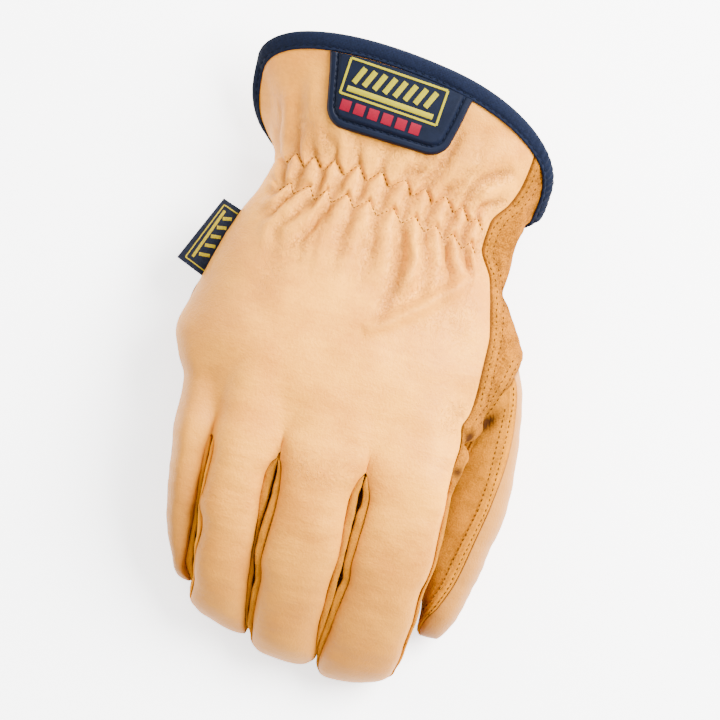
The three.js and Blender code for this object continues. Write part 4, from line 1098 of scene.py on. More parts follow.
def join_roots(hand, root, station, blend):
    """Blends the hand into the fingers' roots. The valleys between them only form at the last."""
    run = path_run(root)
    step, reach = 0.4, 30
    even = np.arange(0, run[-1], step)
    kernel = bell(np.arange(-reach, reach + 1) * step, 0, VALLEY_SOFTNESS)
    kernel /= kernel.sum()
    soft = []
    for i in range(3):
        line = np.interp(even, run, root[:, i])
        padded = np.concatenate([np.repeat(line[:1], reach), line, np.repeat(line[-1:], reach)])
        soft.append(np.interp(run, even, np.convolve(padded, kernel, mode="valid")))
    inside = smooth(np.minimum(run, run[-1] - run), 0, 9)[:, None]
    soft = root + (np.stack(soft, -1) - root) * inside
    along = np.stack([0 * station, station - FINGER_ROOT, 0 * station], -1)
    blend = blend[..., None]
    return hand + (soft[None] + along - hand) * blend + (root - soft)[None] * blend**24


def settle_roots(hand, fingers):
    """Evens out the bend at the fingers' roots, away from the slits."""
    reach, window = 16, 30
    kernel = bell(np.arange(-reach, reach + 1), 0, 7.0)
    kernel /= kernel.sum()
    last = len(hand) - 1
    along = bell(np.arange(-window, window + 1), 0, 14.0)[:, None, None]
    start = 0
    for finger in fingers:
        count = finger.shape[1]
        joined = np.concatenate([hand[:, start:start + count], finger[1:]])
        near = slice(last - window, last + window + 1)
        part = joined[near.start - reach:near.stop + reach]
        soft = sum(weight * part[k:k + 2 * window + 1] for k, weight in enumerate(kernel))
        column = np.arange(count)
        across = smooth(np.minimum(column, count - 1 - column), 1, 9)[None, :, None]
        joined[near] += (soft - joined[near]) * along * across
        hand[:, start:start + count] = joined[:last + 1]
        finger[:] = joined[last:]
        start += count - 1


def painted_shade_of_back(points):
    """Painted shade, partly the leather's own tone: paler over the middle of the hand, painted darker towards
    the fingertips and the sides, where the surface turns from the light, and over the cuff's middle.
    """
    x, y = points[..., 0], points[..., 1]
    tips = smooth(-y, 30, 100)
    left = smooth(-x, 26, 58) * (1 - smooth(y, 30, 60))
    cuff = smooth(y, 66, 84) * (1 - smooth(np.abs(x + 6), 22, 40))
    return np.clip(1 - 0.55 * tips - 0.6 * left - 0.4 * cuff, 0, 1)


def draw_back(sheets, amount=DRAW_BACK):
    """Draws each sheet's first and last columns back from their seams."""
    for sheet in sheets:
        for end, near in ((0, 1), (-1, -2)):
            step = sheet[:, near] - sheet[:, end]
            size = np.maximum(np.linalg.norm(step, axis=-1, keepdims=True), 1e-6)
            sheet[:, end] += step * np.minimum(0.45, amount / size)


def relief_sheet(outer, inner, height, roll_edges):
    """Outer and inner points moved along the normals by the relief, with rolled edges on the outside."""
    normal = normals_of(outer, inner)
    moved = outer + normal * (height + roll_edges)[..., None]
    behind = inner + normal * np.minimum(height, 0)[..., None]
    return moved, behind


def finger_wrinkles(x, y, left, right, seed):
    """Faint wrinkles across a finger's back, which end at its seams."""
    height = 0.07 * uneven(0.4 * x, y, 5.5, 0.7 + seed)
    height = height + 0.035 * uneven(0.5 * x + 0.7 * y, y, 2.6, 3.7 + seed)
    return height * smooth(np.minimum(left, right), 0.5, 4)


def back_piece():
    """The back of the hand with the four fingers' backs sewn on at their roots."""
    sheets = Sheets()
    across = spread(BACK_COUNT, EDGE_CROWD)
    hands, fingers = [], []
    for inset in (0.0, LEATHER):
        hands.append(back_of_hand(inset))
        fingers.append([finger_face(name, FINGER_SHARES, False, across, inset) for name in NAMES])
        settle_roots(hands[-1], fingers[-1])
    outer, inner = hands
    height, painted_crease_shade, wrinkled = back_relief(outer[..., 0], outer[..., 1])
    left, right = edge_distances(outer)
    near = np.minimum(left, right)
    calm = smooth(near, 0, 3)
    roll = rolled_edge(near, ROLL)
    moved, behind = relief_sheet(outer, inner, height * calm, roll)
    hand_ids = sheets.add(moved, behind, painted_crease_shade * calm, seam_line(near), painted_shade_of_back(outer), wrinkled)
    opened = smooth(FINGER_SHARES, 0.0, SLIT_OPENING)
    for f, (outer, inner) in enumerate(zip(*fingers)):
        x, y = outer[..., 0], outer[..., 1]
        height, painted_crease_shade, wrinkled = back_relief(x, y)
        left, right = edge_distances(outer)
        end = edge_distances(outer, 0)[1]
        open_left = opened if f else 1.0
        open_right = opened if f < 3 else 1.0
        roll = rolled_edge(left, SLIT_ROLL) * open_left + rolled_edge(right, SLIT_ROLL) * open_right
        roll = np.minimum(roll, rolled_edge(end, ROLL))
        # The slit beside the little finger shows paler edges: less dark is painted there, as the ring
        # finger's shade already falls on it
        seam_left = seam_line(left) * open_left * (0.5 if f == 1 else 1.0)
        seam_right = seam_line(right) * open_right * (0.5 if f == 0 else 1.0)
        seam = np.maximum(np.maximum(seam_left, seam_right), seam_line(end))
        height = height + finger_wrinkles(x, y, left, right, f)
        moved, behind = relief_sheet(outer, inner, height, roll)
        draw_back([moved[1:], behind[1:]])
        root = hand_ids[-1, f * BACK_COUNT:(f + 1) * BACK_COUNT + 1]
        sheets.add(moved, behind, painted_crease_shade, seam, painted_shade_of_back(outer), wrinkled, root=root)
    piece = sheets.build("back_leather", GRAIN_MATERIALS)
    assign(piece, "grain_leather", "back_panel", *[name + "_back" for name in NAMES])
    return piece


# Palm, finger fronts and the side up to the back's seam, in suede
PALM_COUNT = 22
SIDE_COUNT = 56
PALM_STATIONS = np.linspace(CUFF_EDGE, FINGER_ROOT, 151)[:, None]
PALM_SHARES = towards_end(np.linspace(0, 1, 96), TIP_CROWD)[:, None]
PALM_CORNER = 12
# A lip rises by this share of its reach, but at least by this much, and the seam lies this deep
LIP_HEIGHT = 0.36
LIP_LEAST = 0.85
SEAM_DEPTH = 0.3


def lip_profile(across, reach, share, tuck, belly=0.0):
    """A side wall between its upper seam (across 0) and its lower one (1): how far out it stands, its level
    between the seams and its rise above that. Beside each seam it rolls over a lip of the given reach. Behind
    the lips it is tucked in, and between them it bellies out."""
    lip = np.clip(np.minimum(across, 1 - across) / share, 0, 1)
    wall = np.clip((across - share) / (1 - 2 * share), 0, 1)
    turn = np.pi * lip
    behind = two_bells(wall, (0.1, 0.9), 0.08)
    out = reach * (0.5 - 0.5 * np.cos(turn) - tuck * behind * (wall > 0) * (wall < 1))
    out = out + belly * smooth(np.sin(np.pi * wall), 0.3, 0.9)
    sign = np.where(across < 0.5, 1, -1)
    swell = np.maximum(LIP_HEIGHT * reach, LIP_LEAST)
    rise = sign * ((swell + SEAM_DEPTH) * np.sin(turn) ** 0.6 - SEAM_DEPTH * (1 - wall) * (wall < 1))
    return out, wall, rise * np.minimum(1, reach / 0.9)


def side_shares():
    """Shares over the side wall, closest at the upper seam."""
    u = np.linspace(0, 1, SIDE_COUNT + 1)[1:]
    return u + 0.18 * np.sin(np.pi * u) ** 2 * (1 - u)


def index_side(at, across, inset):
    """The index finger's outer wall, from its lower seam (across 0) up to the back's seam (1)."""
    s = finger_section("index", at)
    y, _, angle = centre_line("index", at, 0.0)
    seen = y - s["rightTop"] * s["height"] * np.sin(angle)
    reach = look_up(INDEX_SEAM, "y", "lip", seen) - look_up(INDEX_SEAM, "y", "leftSeam", seen)
    reach = reach * (1 - smooth(at, 0.9, 1.0))
    out, level, rise = lip_profile(1 - across, reach, share=0.16, tuck=0.3)
    return finger_side("index", at, True, level, out, rise, inset)


def palm_of_hand(inset):
    """The palm from the little finger's seam to the corner below the thumb, and on up to the back's seam."""
    station = PALM_STATIONS
    s = column_of(HAND, "y", station)
    corner = hand_angle(station, s["right"] - PALM_CORNER, under=True)
    borders = [left_seam(station)]
    borders += [hand_angle(station, s[name], under=True) for name in ("ring", "middle", "index")]
    borders.append(corner)
    across = np.linspace(0, 1, PALM_COUNT + 1)
    angles, roots = [], []
    for f in range(4):
        angles.append(borders[f] + (borders[f + 1] - borders[f]) * across[min(f, 1):])
        roots.append(root_row(f, True, across, inset))
    side = side_shares()
    seam = 360 + hand_angle(station, s["seam"] + waves(station, SEAM_WAVES))
    angles.append(corner + (seam - corner) * side)
    roots.append(index_side(np.zeros(1), side, inset))
    hand = hand_skin(station, np.concatenate(angles, 1), inset)
    return join_roots(hand, np.concatenate(roots), station, root_blend(station))


# The seam allowances on the suede: where each band begins and ends, its two grooves, and its height
SIDE_ALLOWANCE = dict(rise=(0.2, 1.1), fall=(3.6, 5.2), grooves=(1.5, 3.8), width=0.45, lift=0.45, cut=0.28)
OPENING_ALLOWANCE = dict(rise=(0.1, 1.0), fall=(3.8, 5.4), grooves=(1.4, 3.6), width=0.5, lift=0.55, cut=0.3)
THUMB_ALLOWANCE = dict(rise=(0.2, 1.0), fall=(4.2, 5.4), grooves=(1.4, 3.9), width=0.45, lift=0.5, cut=0.3)
# thumb_level grows by 1 over about this distance from the thumb's skin
LEVEL_DISTANCE = 5.5


def allowance(distance, shape, where=1.0):
    """A raised band beside a seam, as a share and as a height with the two stitch grooves in it."""
    band = smooth(distance, *shape["rise"]) * (1 - smooth(distance, *shape["fall"])) * where
    return band, band * (shape["lift"] - shape["cut"] * two_bells(distance, shape["grooves"], shape["width"]))


def palm_relief(outer, side):
    """Height and marks of the palm and the hand's side, with the side's ruffle, which moves it along x, and
    the level that is below 0 inside the thumb."""
    first, last = edge_distances(outer)
    x, y, z = (outer[..., i] for i in range(3))
    height = 0.5 * uneven(x, y, 24, 3.1) * (z < 22) * smooth(last, 2, 12)
    height = height + 0.25 * uneven(x, y + z, 9, 1.9) * smooth(last, 1, 6)
    # The seam allowance behind the upper seam lifts the suede in a band with two stitch grooves
    band, lift = allowance(last, SIDE_ALLOWANCE, side * smooth(PALM_STATIONS, -35, -30))
    height = height + lift
    # The side is pinched in waves where the thumb's seam pulls at it, with soft hollows behind
    ruffle = smooth(last, 0.8, 3.5) * (1 - smooth(last, 20, 32)) * side * (z > 12)
    hollow = bell(last, 2.6, 1.3) * bell(y, -16.8, 2.2) * side
    hollow_low = bell(last, 1.8, 1.0) * bell(y, -29.3, 1.9) * side
    height = height - 1.0 * hollow - 0.6 * hollow_low
    creased = side * smooth(-y, 6, 12) * (1 - smooth(-y, 28, 36))
    lines = creased * (bell(last, 1.1, 0.25) + bell(last, 2.4, 0.3))
    height = height - 0.2 * lines
    # A seam allowance round the thumb's opening
    level = thumb_level(outer)
    gap = level * LEVEL_DISTANCE
    ring, lift = allowance(gap, OPENING_ALLOWANCE, side * (y > -24))
    height = height + lift
    # The marks paint shade into the hollows and creased lines, and a painted highlight onto the raised seam
    # allowances
    marks = dict(
        painted_crease_shade=np.clip(np.maximum(1.3 * hollow, hollow_low) + 0.3 * lines, 0, 1),
        seam=np.maximum(seam_line(np.minimum(first, last)), 1 - smooth(gap, 0.2, 0.7)) * 0.9,
        painted_light_and_tone=0.1 * band + 0.1 * ring,
    )
    roll = rolled_edge(np.minimum(first, last), ROLL) + rolled_edge(np.maximum(gap, 0), 0.7)
    return height, roll, marks, waves(y, RUFFLE_WAVES) * ruffle, level


def finger_front(f, inset):
    """The underside of a finger. The index finger's also turns up its outer side to the back's seam."""
    front = finger_face(NAMES[f], PALM_SHARES, True, np.linspace(0, 1, PALM_COUNT + 1), inset)
    if f < 3:
        return front
    return np.concatenate([front, index_side(PALM_SHARES, side_shares()[None], inset)], 1)


def palm_piece():
    """The palm and the hand's side, open for the thumb, with the four fingers' undersides."""
    sheets = Sheets()
    outer, inner = palm_of_hand(0.0), palm_of_hand(LEATHER)
    side = np.arange(outer.shape[1])[None] > 4 * PALM_COUNT
    height, roll, marks, bulge, level = palm_relief(outer, side)
    moved, behind = relief_sheet(outer, inner, height, roll)
    moved[..., 0] += bulge
    behind[..., 0] += bulge
    on_floor(moved)
    on_floor(behind, INNER_FLOOR)
    # The opening for the thumb, a little inside its skin
    inside = (level < -0.35) & (outer[..., 1] < 40)
    keep = ~(inside[:-1, :-1] & inside[1:, :-1] & inside[1:, 1:] & inside[:-1, 1:])
    hand_ids = sheets.add(moved, behind, **marks, keep=keep)
    opened = smooth(PALM_SHARES, 0.0, SLIT_OPENING)
    for f in range(4):
        outer, inner = finger_front(f, 0.0), finger_front(f, LEATHER)
        first, last = edge_distances(outer)
        end = edge_distances(outer, 0)[1]
        x, y = outer[..., 0], outer[..., 1]
        height = 0.3 * uneven(x, y, 15, 4.0 + f) * smooth(np.minimum(first, last), 1, 5)
        roll = rolled_edge(first, ROLL) * (opened if f else 1)
        roll = roll + rolled_edge(last, ROLL) * (opened if f < 3 else 1)
        roll = np.minimum(roll, rolled_edge(end, ROLL))
        seam = seam_line(np.minimum(np.minimum(first, last), end)) * opened
        # The lip beside the index finger's seam is painted brighter, a painted highlight on the raised lip
        painted_light_and_tone = 0.45 * (1 - smooth(last, 1.6, 3.2)) if f == 3 else 0.0
        moved, behind = relief_sheet(outer, inner, height, roll)
        on_floor(moved)
        on_floor(behind, INNER_FLOOR)
        draw_back([moved[1:], behind[1:]])
        start = f * PALM_COUNT
        sheets.add(moved, behind, 0.0, seam, painted_light_and_tone, root=hand_ids[-1, start:start + outer.shape[1]])
    piece = sheets.build("palm_suede", SUEDE_MATERIALS)
    assign(piece, "suede", "palm_panel", *[name + "_front" for name in NAMES])
    return piece


# Gussets between the fingers
GUSSET_COUNT = 44
GUSSET_SHARES = towards_end(np.linspace(0.012, 0.985, 92), 1.15)[:, None]
GUSSET_THICK = LEATHER * 0.75
# The fingers' walls touch between their lips, a little past the middle of the slit
GUSSET_BELLY = 0.35


def gusset_wall(finger, right, slit, across, inset):
    """A finger's side wall in a slit, rolled over a lip that is as wide as the slit's table says."""
    s = finger_section(finger, GUSSET_SHARES)
    y, _, angle = centre_line(finger, GUSSET_SHARES, 0.0)
    seen = y - s["rightTop" if right else "leftTop"] * s["height"] * np.sin(angle)
    edges = {name: look_up(slit, "y", name, seen) for name in SLIT_COLUMNS.split()[1:]}
    if right:
        reach = edges["leftLip"] - edges["leftSeam"]
    else:
        reach = edges["rightSeam"] - edges["rightLip"]
    half_gap = (edges["rightLip"] - edges["leftLip"]) / 2
    out, level, rise = lip_profile(across, reach, share=0.3, tuck=0.2, belly=half_gap + GUSSET_BELLY)
    return finger_side(finger, GUSSET_SHARES, right, level, out, rise, inset)


def gusset_piece(left_finger, right_finger):
    """The suede strip between two fingers: up one finger's side, round the crotch and down the other's."""
    slit = SLITS[left_finger]
    across = np.linspace(0, 1, GUSSET_COUNT + 1)
    pair = []
    for inset in (0.0, GUSSET_THICK):
        left_wall = gusset_wall(left_finger, True, slit, across[None], inset)[::-1]
        right_wall = gusset_wall(right_finger, False, slit, across[None], inset)
        # The strip stands a little in from the back's and the palm's crotches
        top = finger_face(right_finger, 0.0, False, np.array([0.0]))[0] + np.array([0, 0.5, -0.1 - inset])
        low = finger_face(right_finger, 0.0, True, np.array([0.0]))[0] + np.array([0, 0, 1.5 + inset])
        crotch = top + (low - top) * across[:, None]
        crotch[:, 1] += inset - 0.4
        pair.append(np.concatenate([left_wall, crotch[None], right_wall]))
    outer, inner = pair
    top_edge, low_edge = edge_distances(outer)
    near = np.minimum(top_edge, low_edge)
    height = 0.12 * uneven(outer[..., 0] * 3, outer[..., 1], 7, 2.0) * smooth(near, 0.3, 1.5)
    moved, behind = relief_sheet(outer, inner, height, 0 * height)
    on_floor(moved)
    draw_back([moved, behind], 0.1)
    # Painted light: the slit beside the little finger is painted palest, with fainter seam edges, against the
    # shade that the ring finger casts into it
    painted_lip_light, edge_shade = (1.0, 0.5) if left_finger == "pinky" else (0.42, 1.0)
    # Painted shade deep in each slit, away from both seams
    painted_depth_shade = smooth(top_edge, 4.5, 9.0) * smooth(low_edge, 4.5, 9.0)
    # A painted highlight on the upper lips
    painted_light_and_tone = painted_lip_light * (1 - smooth(top_edge, 3.0, 5.5))
    sheets = Sheets()
    sheets.add(moved, behind, 0.45 * painted_depth_shade, edge_shade * seam_line(near, 0.3), painted_light_and_tone)
    piece = sheets.build(f"suede_gusset_{left_finger}_{right_finger}", SUEDE_MATERIALS)
    assign(piece, "suede", f"gusset_{left_finger}_{right_finger}")


# Thumb
THUMB_COUNT = 56
THUMB_CROWD = 0.7
THUMB_SHARES = towards_end(np.linspace(0, 1, 150), 1.3)[:, None]
THUMB_STEP = 0.25
# The sheets begin in front of the hand's skin, or deeper inside it next to the index finger
THUMB_CLEARANCE = 0.3
THUMB_DEEPER = 14
THUMB_DEEPEST = -18.0


def thumb_start(degrees):
    """The station where the thumb's skin comes out of the hand's, at each angle."""
    stations = np.arange(24, -60, -THUMB_STEP)[:, None]
    level = hand_level(thumb_skin(stations, degrees[None]))
    inside = level < 0
    last = np.where(inside.any(0), len(stations) - 1 - np.argmax(inside[::-1], axis=0), 0)
    last = np.clip(last, 0, len(stations) - 2)
    columns = np.arange(len(degrees))
    a, b = level[last, columns], level[last + 1, columns]
    share = np.clip(a / np.where(np.abs(a - b) > 1e-9, a - b, 1), 0, 1)
    return stations[last, 0] - THUMB_STEP * share


def thumb_angles(station, turn):
    """Angles over a thumb sheet's width, from the seam on top to the one underneath plus a turn."""
    seam = look_up(THUMB, "y", "seam", station)
    under = look_up(THUMB, "y", "under", station) + turn
    return seam + (under - seam) * spread(THUMB_COUNT, THUMB_CROWD)


def thumb_sheet(turn, end):
    """Outer and inner points of a sheet of the thumb, from inside the hand's skin to its end."""
    # The start depends on the angle, which depends on the start: settle both
    start = np.zeros(THUMB_COUNT + 1)
    for _ in range(8):
        degrees = thumb_angles(start, turn)
        start = 0.5 * start + 0.5 * thumb_start(degrees)
    deeper = smooth(degrees, 80, 105) * (1 - smooth(degrees, 200, 235))
    start = np.maximum(start + THUMB_CLEARANCE + THUMB_DEEPER * deeper, THUMB_DEEPEST)
    station = start[None] + (end - start[None]) * THUMB_SHARES
    degrees = thumb_angles(station, turn)
    outer = thumb_skin(station, degrees)
    inner = thumb_skin(station, degrees, LEATHER)
    for sheet in (outer, inner):
        middle = sheet[-1].mean(0)
        sheet[-1] = middle + (sheet[-1] - middle) * 0.05
    return outer, inner


def thumb_piece(name, node_name, slot, materials, relief, turn, end):
    """One side of the thumb, from the seam on top round to the one underneath."""
    outer, inner = thumb_sheet(turn, end)
    top_edge, low_edge = edge_distances(outer)
    start = edge_distances(outer, 0)[0]
    height, painted_crease_shade, painted_light_and_tone = relief(outer, top_edge)
    near = np.minimum(top_edge, low_edge)
    roll = rolled_edge(near, ROLL) + rolled_edge(start, ROLL)
    moved, behind = relief_sheet(outer, inner, height, roll)
    on_floor(moved)
    draw_back([moved, behind])
    seam = np.maximum(0.5 * seam_line(near), seam_line(start))
    sheets = Sheets()
    sheets.add(moved, behind, painted_crease_shade, seam, painted_light_and_tone)
    piece = sheets.build(name, materials)
    assign(piece, slot, node_name)
    return piece


def thumb_grain_relief(points, top_edge):
    """Height, crease depth, and painted light and tone of the thumb's grain leather, painted darker towards
    the tip.
    """
    x, y = points[..., 0], points[..., 1]
    height = 0.25 * uneven(x, y, 20, 5.0) + 0.12 * uneven(0.3 * x, y, 6, 2.2)
    painted_light_and_tone = 0.14 - 0.1 * smooth(-y, 20, 70)
    return height * smooth(top_edge, 0, 3), 0 * height, painted_light_and_tone


# The hollow between the thumb and the hand, as seen from above, with the direction that it runs in
HOLLOW_MIDDLE = (50.2, -10.4)
HOLLOW_WAY = (0.6, 0.8)


def thumb_suede_relief(points, top_edge):
    """Height, crease depth and painted light and tone of the thumb's suede, with painted shade in a hollow
    beside the palm and a painted highlight on its seam band.
    """
    x, y, z = (points[..., i] for i in range(3))
    height = 0.25 * uneven(x, y, 13, 6.0) * smooth(top_edge, 3, 7)
    band, lift = allowance(top_edge, THUMB_ALLOWANCE)
    from_x, from_y = x - HOLLOW_MIDDLE[0], y - HOLLOW_MIDDLE[1]
    along = from_x * HOLLOW_WAY[0] + from_y * HOLLOW_WAY[1]
    beside = from_x * HOLLOW_WAY[1] - from_y * HOLLOW_WAY[0]
    hollow = bell(along, 0, 4.6) * bell(beside, 0, 2.1)
    pocket = bell(x, 46.6, 1.6) * bell(y, -18.5, 2.2)
    # A fold at the thumb's tip that is only painted shade, with no relief
    tip_fold_shade = np.exp(-np.hypot(x - 45, (y + 82) * 0.7) / 1.8)
    painted_crease_shade = np.clip(1.5 * hollow + 0.8 * pocket + 0.6 * tip_fold_shade, 0, 1) * (z > 8)
    return height + lift - 1.8 * hollow - 0.8 * pocket, painted_crease_shade, 0.27 + 0.12 * band


# Cuff binding
BINDING_AROUND = 420
BINDING_DEPTH = 5.0
# The folded tape's section: distance from the leather's edge down its face, and depth into the leather
BINDING_PROFILE = [
    (5.0, -0.4), (5.25, -0.8), (5.05, -1.25), (4.5, -1.35), (4.0, -1.12),
    (3.5, -1.4), (2.5, -1.65), (1.4, -1.7), (0.4, -1.55), (-0.5, -1.15),
    (-1.2, -0.3), (-1.4, 0.8), (-1.2, 1.9), (-0.5, 2.75), (0.4, 3.0),
    (2.5, 3.1), (4.6, 3.05), (5.1, 2.6), (5.0, 2.0), (2.0, 1.95),
    (0.2, 1.95), (-0.35, 1.3), (-0.35, 0.3), (0.2, -0.35), (2.0, -0.38),
]


def below_edge(degrees, distance):
    """The station at which the leather has run a given distance down from the cuff's edge."""
    stations = np.arange(CUFF_EDGE, 60, -0.2)
    path = hand_skin(stations[:, None], degrees[None])
    run = row_lengths(path, 0)
    return np.array([np.interp(distance, run[:, k], stations) for k in range(len(degrees))])


def binding_points(degrees, below, inset):
    """Points of the folded band: below is the distance from the leather's edge down its face."""
    half_way = BINDING_DEPTH / 2
    edge = hand_skin(CUFF_EDGE, degrees, inset)
    half = hand_skin(below_edge(degrees, half_way), degrees, inset)
    low = hand_skin(below_edge(degrees, BINDING_DEPTH), degrees, inset)
    if below > half_way:
        return half + (low - half) * (below - half_way) / half_way
    return edge + (half - edge) * below / half_way


def binding_piece():
    """The tape folded over the cuff's edge, a closed ring of its profile."""
    degrees = np.linspace(0, 360, BINDING_AROUND, endpoint=False)
    profile = rounded_path(BINDING_PROFILE + BINDING_PROFILE[:1], 2)[:-1]
    points = np.stack([binding_points(degrees, below, inset) for below, inset in profile], 1)
    outside = np.clip(-profile[:, 1] - 0.5, 0, 1)[None]
    ring = points[:, 5]
    around = np.linalg.norm(np.diff(ring, axis=0, append=ring[:1]), axis=-1).cumsum()[:, None]
    # The tape puckers on the tight bend beside the thumb
    bend = bell(points[..., 0], 49, 7) * (points[..., 1] > 60)
    pucker = np.sin(around * 2 * np.pi / 3.1 + 2 * np.sin(around / 9))
    height = outside * (0.18 * pucker * (0.25 + bend))
    height = height + 0.12 * uneven(around, profile[None, :, 0] * 2, 17, 1.0) * outside
    lift = points - points.mean(1, keepdims=True)
    lift /= np.maximum(np.linalg.norm(lift, axis=-1, keepdims=True), 1e-6)
    points = points + lift * height[..., None]
    ids = np.arange(BINDING_AROUND * len(profile)).reshape(BINDING_AROUND, len(profile))
    ahead = np.roll(ids, -1, axis=0)
    faces = np.stack([ids, np.roll(ids, -1, axis=1), np.roll(ahead, -1, axis=1), ahead], -1).reshape(-1, 4)
    flat = points.reshape(-1, 3)
    if volume_of(flat, faces) < 0:
        faces = faces[:, ::-1]
    on_floor(flat)
    piece = make_mesh("cuff_binding_tape", flat, faces.tolist(), [BINDING], sharp=80)
    assign(piece, "binding_fabric", "cuff_binding")
    return piece


# Label patch and tag
PATCH = dict(top=101.0, bottom=77.6, top_left=-34.6, top_right=18.0, bottom_left=-30.5, bottom_right=12.5)
PATCH_ROUND = 6.5
PATCH_TILT = -0.11
PATCH_RISE = 1.9
PATCH_GAP = 0.45
# The groove for the stitches runs round the patch at this distance from its edge
GROOVE = 2.9
MARKS_ABOVE_SKIN = 2.68


def back_at(x, y):
    """The pattern's skin above given x and y, near the cuff."""
    low = np.full(np.shape(x), 45.0)
    high = np.full(np.shape(x), CUFF_EDGE)
    for _ in range(24):
        middle = (low + high) / 2
        under = hand_skin(middle, hand_angle(middle, x))[..., 1] < y
        low = np.where(under, middle, low)
        high = np.where(under, high, middle)
    return hand_skin(low, hand_angle(low, x))


def patch_xy(down, across):
    """A point of the patch as seen from above, by its shares from top to bottom and from left to right."""
    height = PATCH["top"] - PATCH["bottom"]
    round_off = np.maximum(0, PATCH_ROUND - (1 - down) * height)
    pull = PATCH_ROUND - np.sqrt(np.maximum(0, PATCH_ROUND**2 - round_off**2))
    left = PATCH["top_left"] + (PATCH["bottom_left"] - PATCH["top_left"]) * down + pull
    right = PATCH["top_right"] + (PATCH["bottom_right"] - PATCH["top_right"]) * down - pull
    x = left + (right - left) * across
    y = PATCH["top"] - down * height + PATCH_TILT * (x - PATCH["top_left"]) * (0.5 + 0.5 * (1 - down))
    # Its upper edge follows the binding
    middle = (x - PATCH["top_left"]) / (PATCH["top_right"] - PATCH["top_left"])
    arch = 1.3 + 7.4 * middle * (1 - middle) + 0.8 * middle
    return x, y + arch * (1 - smooth(down, 0, 0.45))


def patch_outline(down, across):
    """Points down the patch's left side, along its lower edge and up its right side."""
    shares = [(d, 0.0) for d in down] + [(1.0, a) for a in across] + [(d, 1.0) for d in down[::-1]]
    return np.array([patch_xy(d, a) for d, a in shares])


def patch_piece():
    """The moulded base: rounded at its edge, with a stitch groove and a field that is a little higher."""
    down = towards_end(np.linspace(0, 1, 110), 1.6)[:, None]
    across = spread(150, 0.5)[None]
    x, y = patch_xy(down, across)
    base = back_at(x, y)
    outline = patch_outline(np.linspace(0, 1, 60), np.linspace(0, 1, 60))
    apart = np.linalg.norm(np.diff(outline, axis=0), axis=1) > 1e-6
    inside, _ = distance_to_path(x, y, outline[np.r_[True, apart]])
    rise = PATCH_RISE * np.sqrt(1 - (1 - np.clip(inside / 1.1, 0, 1)) ** 2)
    rise = rise + 0.35 * smooth(inside, 3.3, 4.4) - 0.55 * bell(inside, GROOVE, 0.42)
    lift = np.stack([0 * rise, 0 * rise, PATCH_GAP + rise], -1)
    sheets = Sheets()
    sheets.add(base + lift, base + np.array([0, 0, 0.35]))
    piece = sheets.build("patch_rubber_base", [RUBBER, RUBBER], sharp=60)
    assign(piece, "patch_rubber", "label_patch")
    return piece


# A raised bar's section, in half widths and heights, and how long its steps are
BAR_SECTION = [(-1, -0.3), (-1, 0.6), (-0.75, 1), (0.75, 1), (1, 0.6), (1, -0.3)]
BAR_STEP = 0.8


def raised_marks(name, paths, surface, height, material, slot):
    """Raised bars on a surface. Each has a path of its middle line and a half width."""
    count = len(BAR_SECTION)
    points, faces = [], []
    for path, half in paths:
        path = np.asarray(path, float)
        run = path_run(path)
        places = np.linspace(0, run[-1], max(int(run[-1] / BAR_STEP), 1) + 1)
        line = np.column_stack([np.interp(places, run, path[:, i]) for i in (0, 1)])
        along = np.gradient(line, axis=0)
        along /= np.linalg.norm(along, axis=1, keepdims=True)
        sideways = np.column_stack([-along[:, 1], along[:, 0]])
        start = len(points)
        for p, n in zip(line, sideways):
            points.extend([*(p + n * offset * half), rise * height] for offset, rise in BAR_SECTION)
        faces += tube_faces(start, len(line), count)
    points = np.array(points)
    points = surface(points[:, 0], points[:, 1]) + points[:, 2:] * np.array([0, 0, 1])
    assign(make_mesh(name, points, faces, [material], sharp=40), slot)


def on_patch(x, y):
    """Points on the patch's field, from which its marks stand up."""
    return back_at(x, y) + np.array([0, 0, MARKS_ABOVE_SKIN])


# The label's print: its upper left corner as seen from above, its turn, and its frame's size
LABEL_CORNER = (-26.6, 101.6)
LABEL_TURN = math.radians(-5.2)
LABEL_WIDE = 35.5
LABEL_TALL = 12.6
LABEL_HEIGHT = 0.3


def label_bar(right, down, right_end, down_end, half):
    """A bar between two points of the label's print, which are measured from its upper left corner."""
    ends = []
    for x, y in ((right, -down), (right_end, -down_end)):
        ends.append((
            LABEL_CORNER[0] + x * math.cos(LABEL_TURN) - y * math.sin(LABEL_TURN),
            LABEL_CORNER[1] + x * math.sin(LABEL_TURN) + y * math.cos(LABEL_TURN),
        ))
    return ends, half


def label_marks():
    """A plain frame with slanting bars and a row of blocks."""
    corners = [(0, 0), (LABEL_WIDE, 0), (LABEL_WIDE, LABEL_TALL), (0, LABEL_TALL), (0, 0)]
    yellow = [label_bar(*a, *b, 0.42) for a, b in zip(corners[:-1], corners[1:])]
    yellow += [label_bar(3.6 + k * 3.75, 7.9, 3.6 + k * 3.75 + 2.3, 1.9, 0.95) for k in range(8)]
    yellow.append(label_bar(2, 10.3, LABEL_WIDE - 2, 10.3, 0.95))
    raised_marks("label_frame_and_bars", yellow, on_patch, LABEL_HEIGHT, YELLOW, "patch_rubber")
    red = [label_bar(1.6 + k * 5.1, 16.2, 1.6 + k * 5.1 + 3.7, 16.2, 1.9) for k in range(6)]
    raised_marks("label_blocks", red, on_patch, LABEL_HEIGHT, RED, "patch_rubber")


# The tag's corners as seen from above: the seam's upper end, outwards, down and back to the seam
TAG_CORNERS = np.array([(-51.5, 41.5), (-58.5, 44.0), (-69.5, 20.0), (-58.8, 15.5)])
TAG_LEVEL = 21.3
TAG_THICK = 1.1


def tag_point(outwards, down):
    """A point of the tag as seen from above, by its shares outwards from the seam and down along it."""
    start = TAG_CORNERS[0] + (TAG_CORNERS[3] - TAG_CORNERS[0]) * down
    stop = TAG_CORNERS[1] + (TAG_CORNERS[2] - TAG_CORNERS[1]) * down
    return start + (stop - start) * outwards


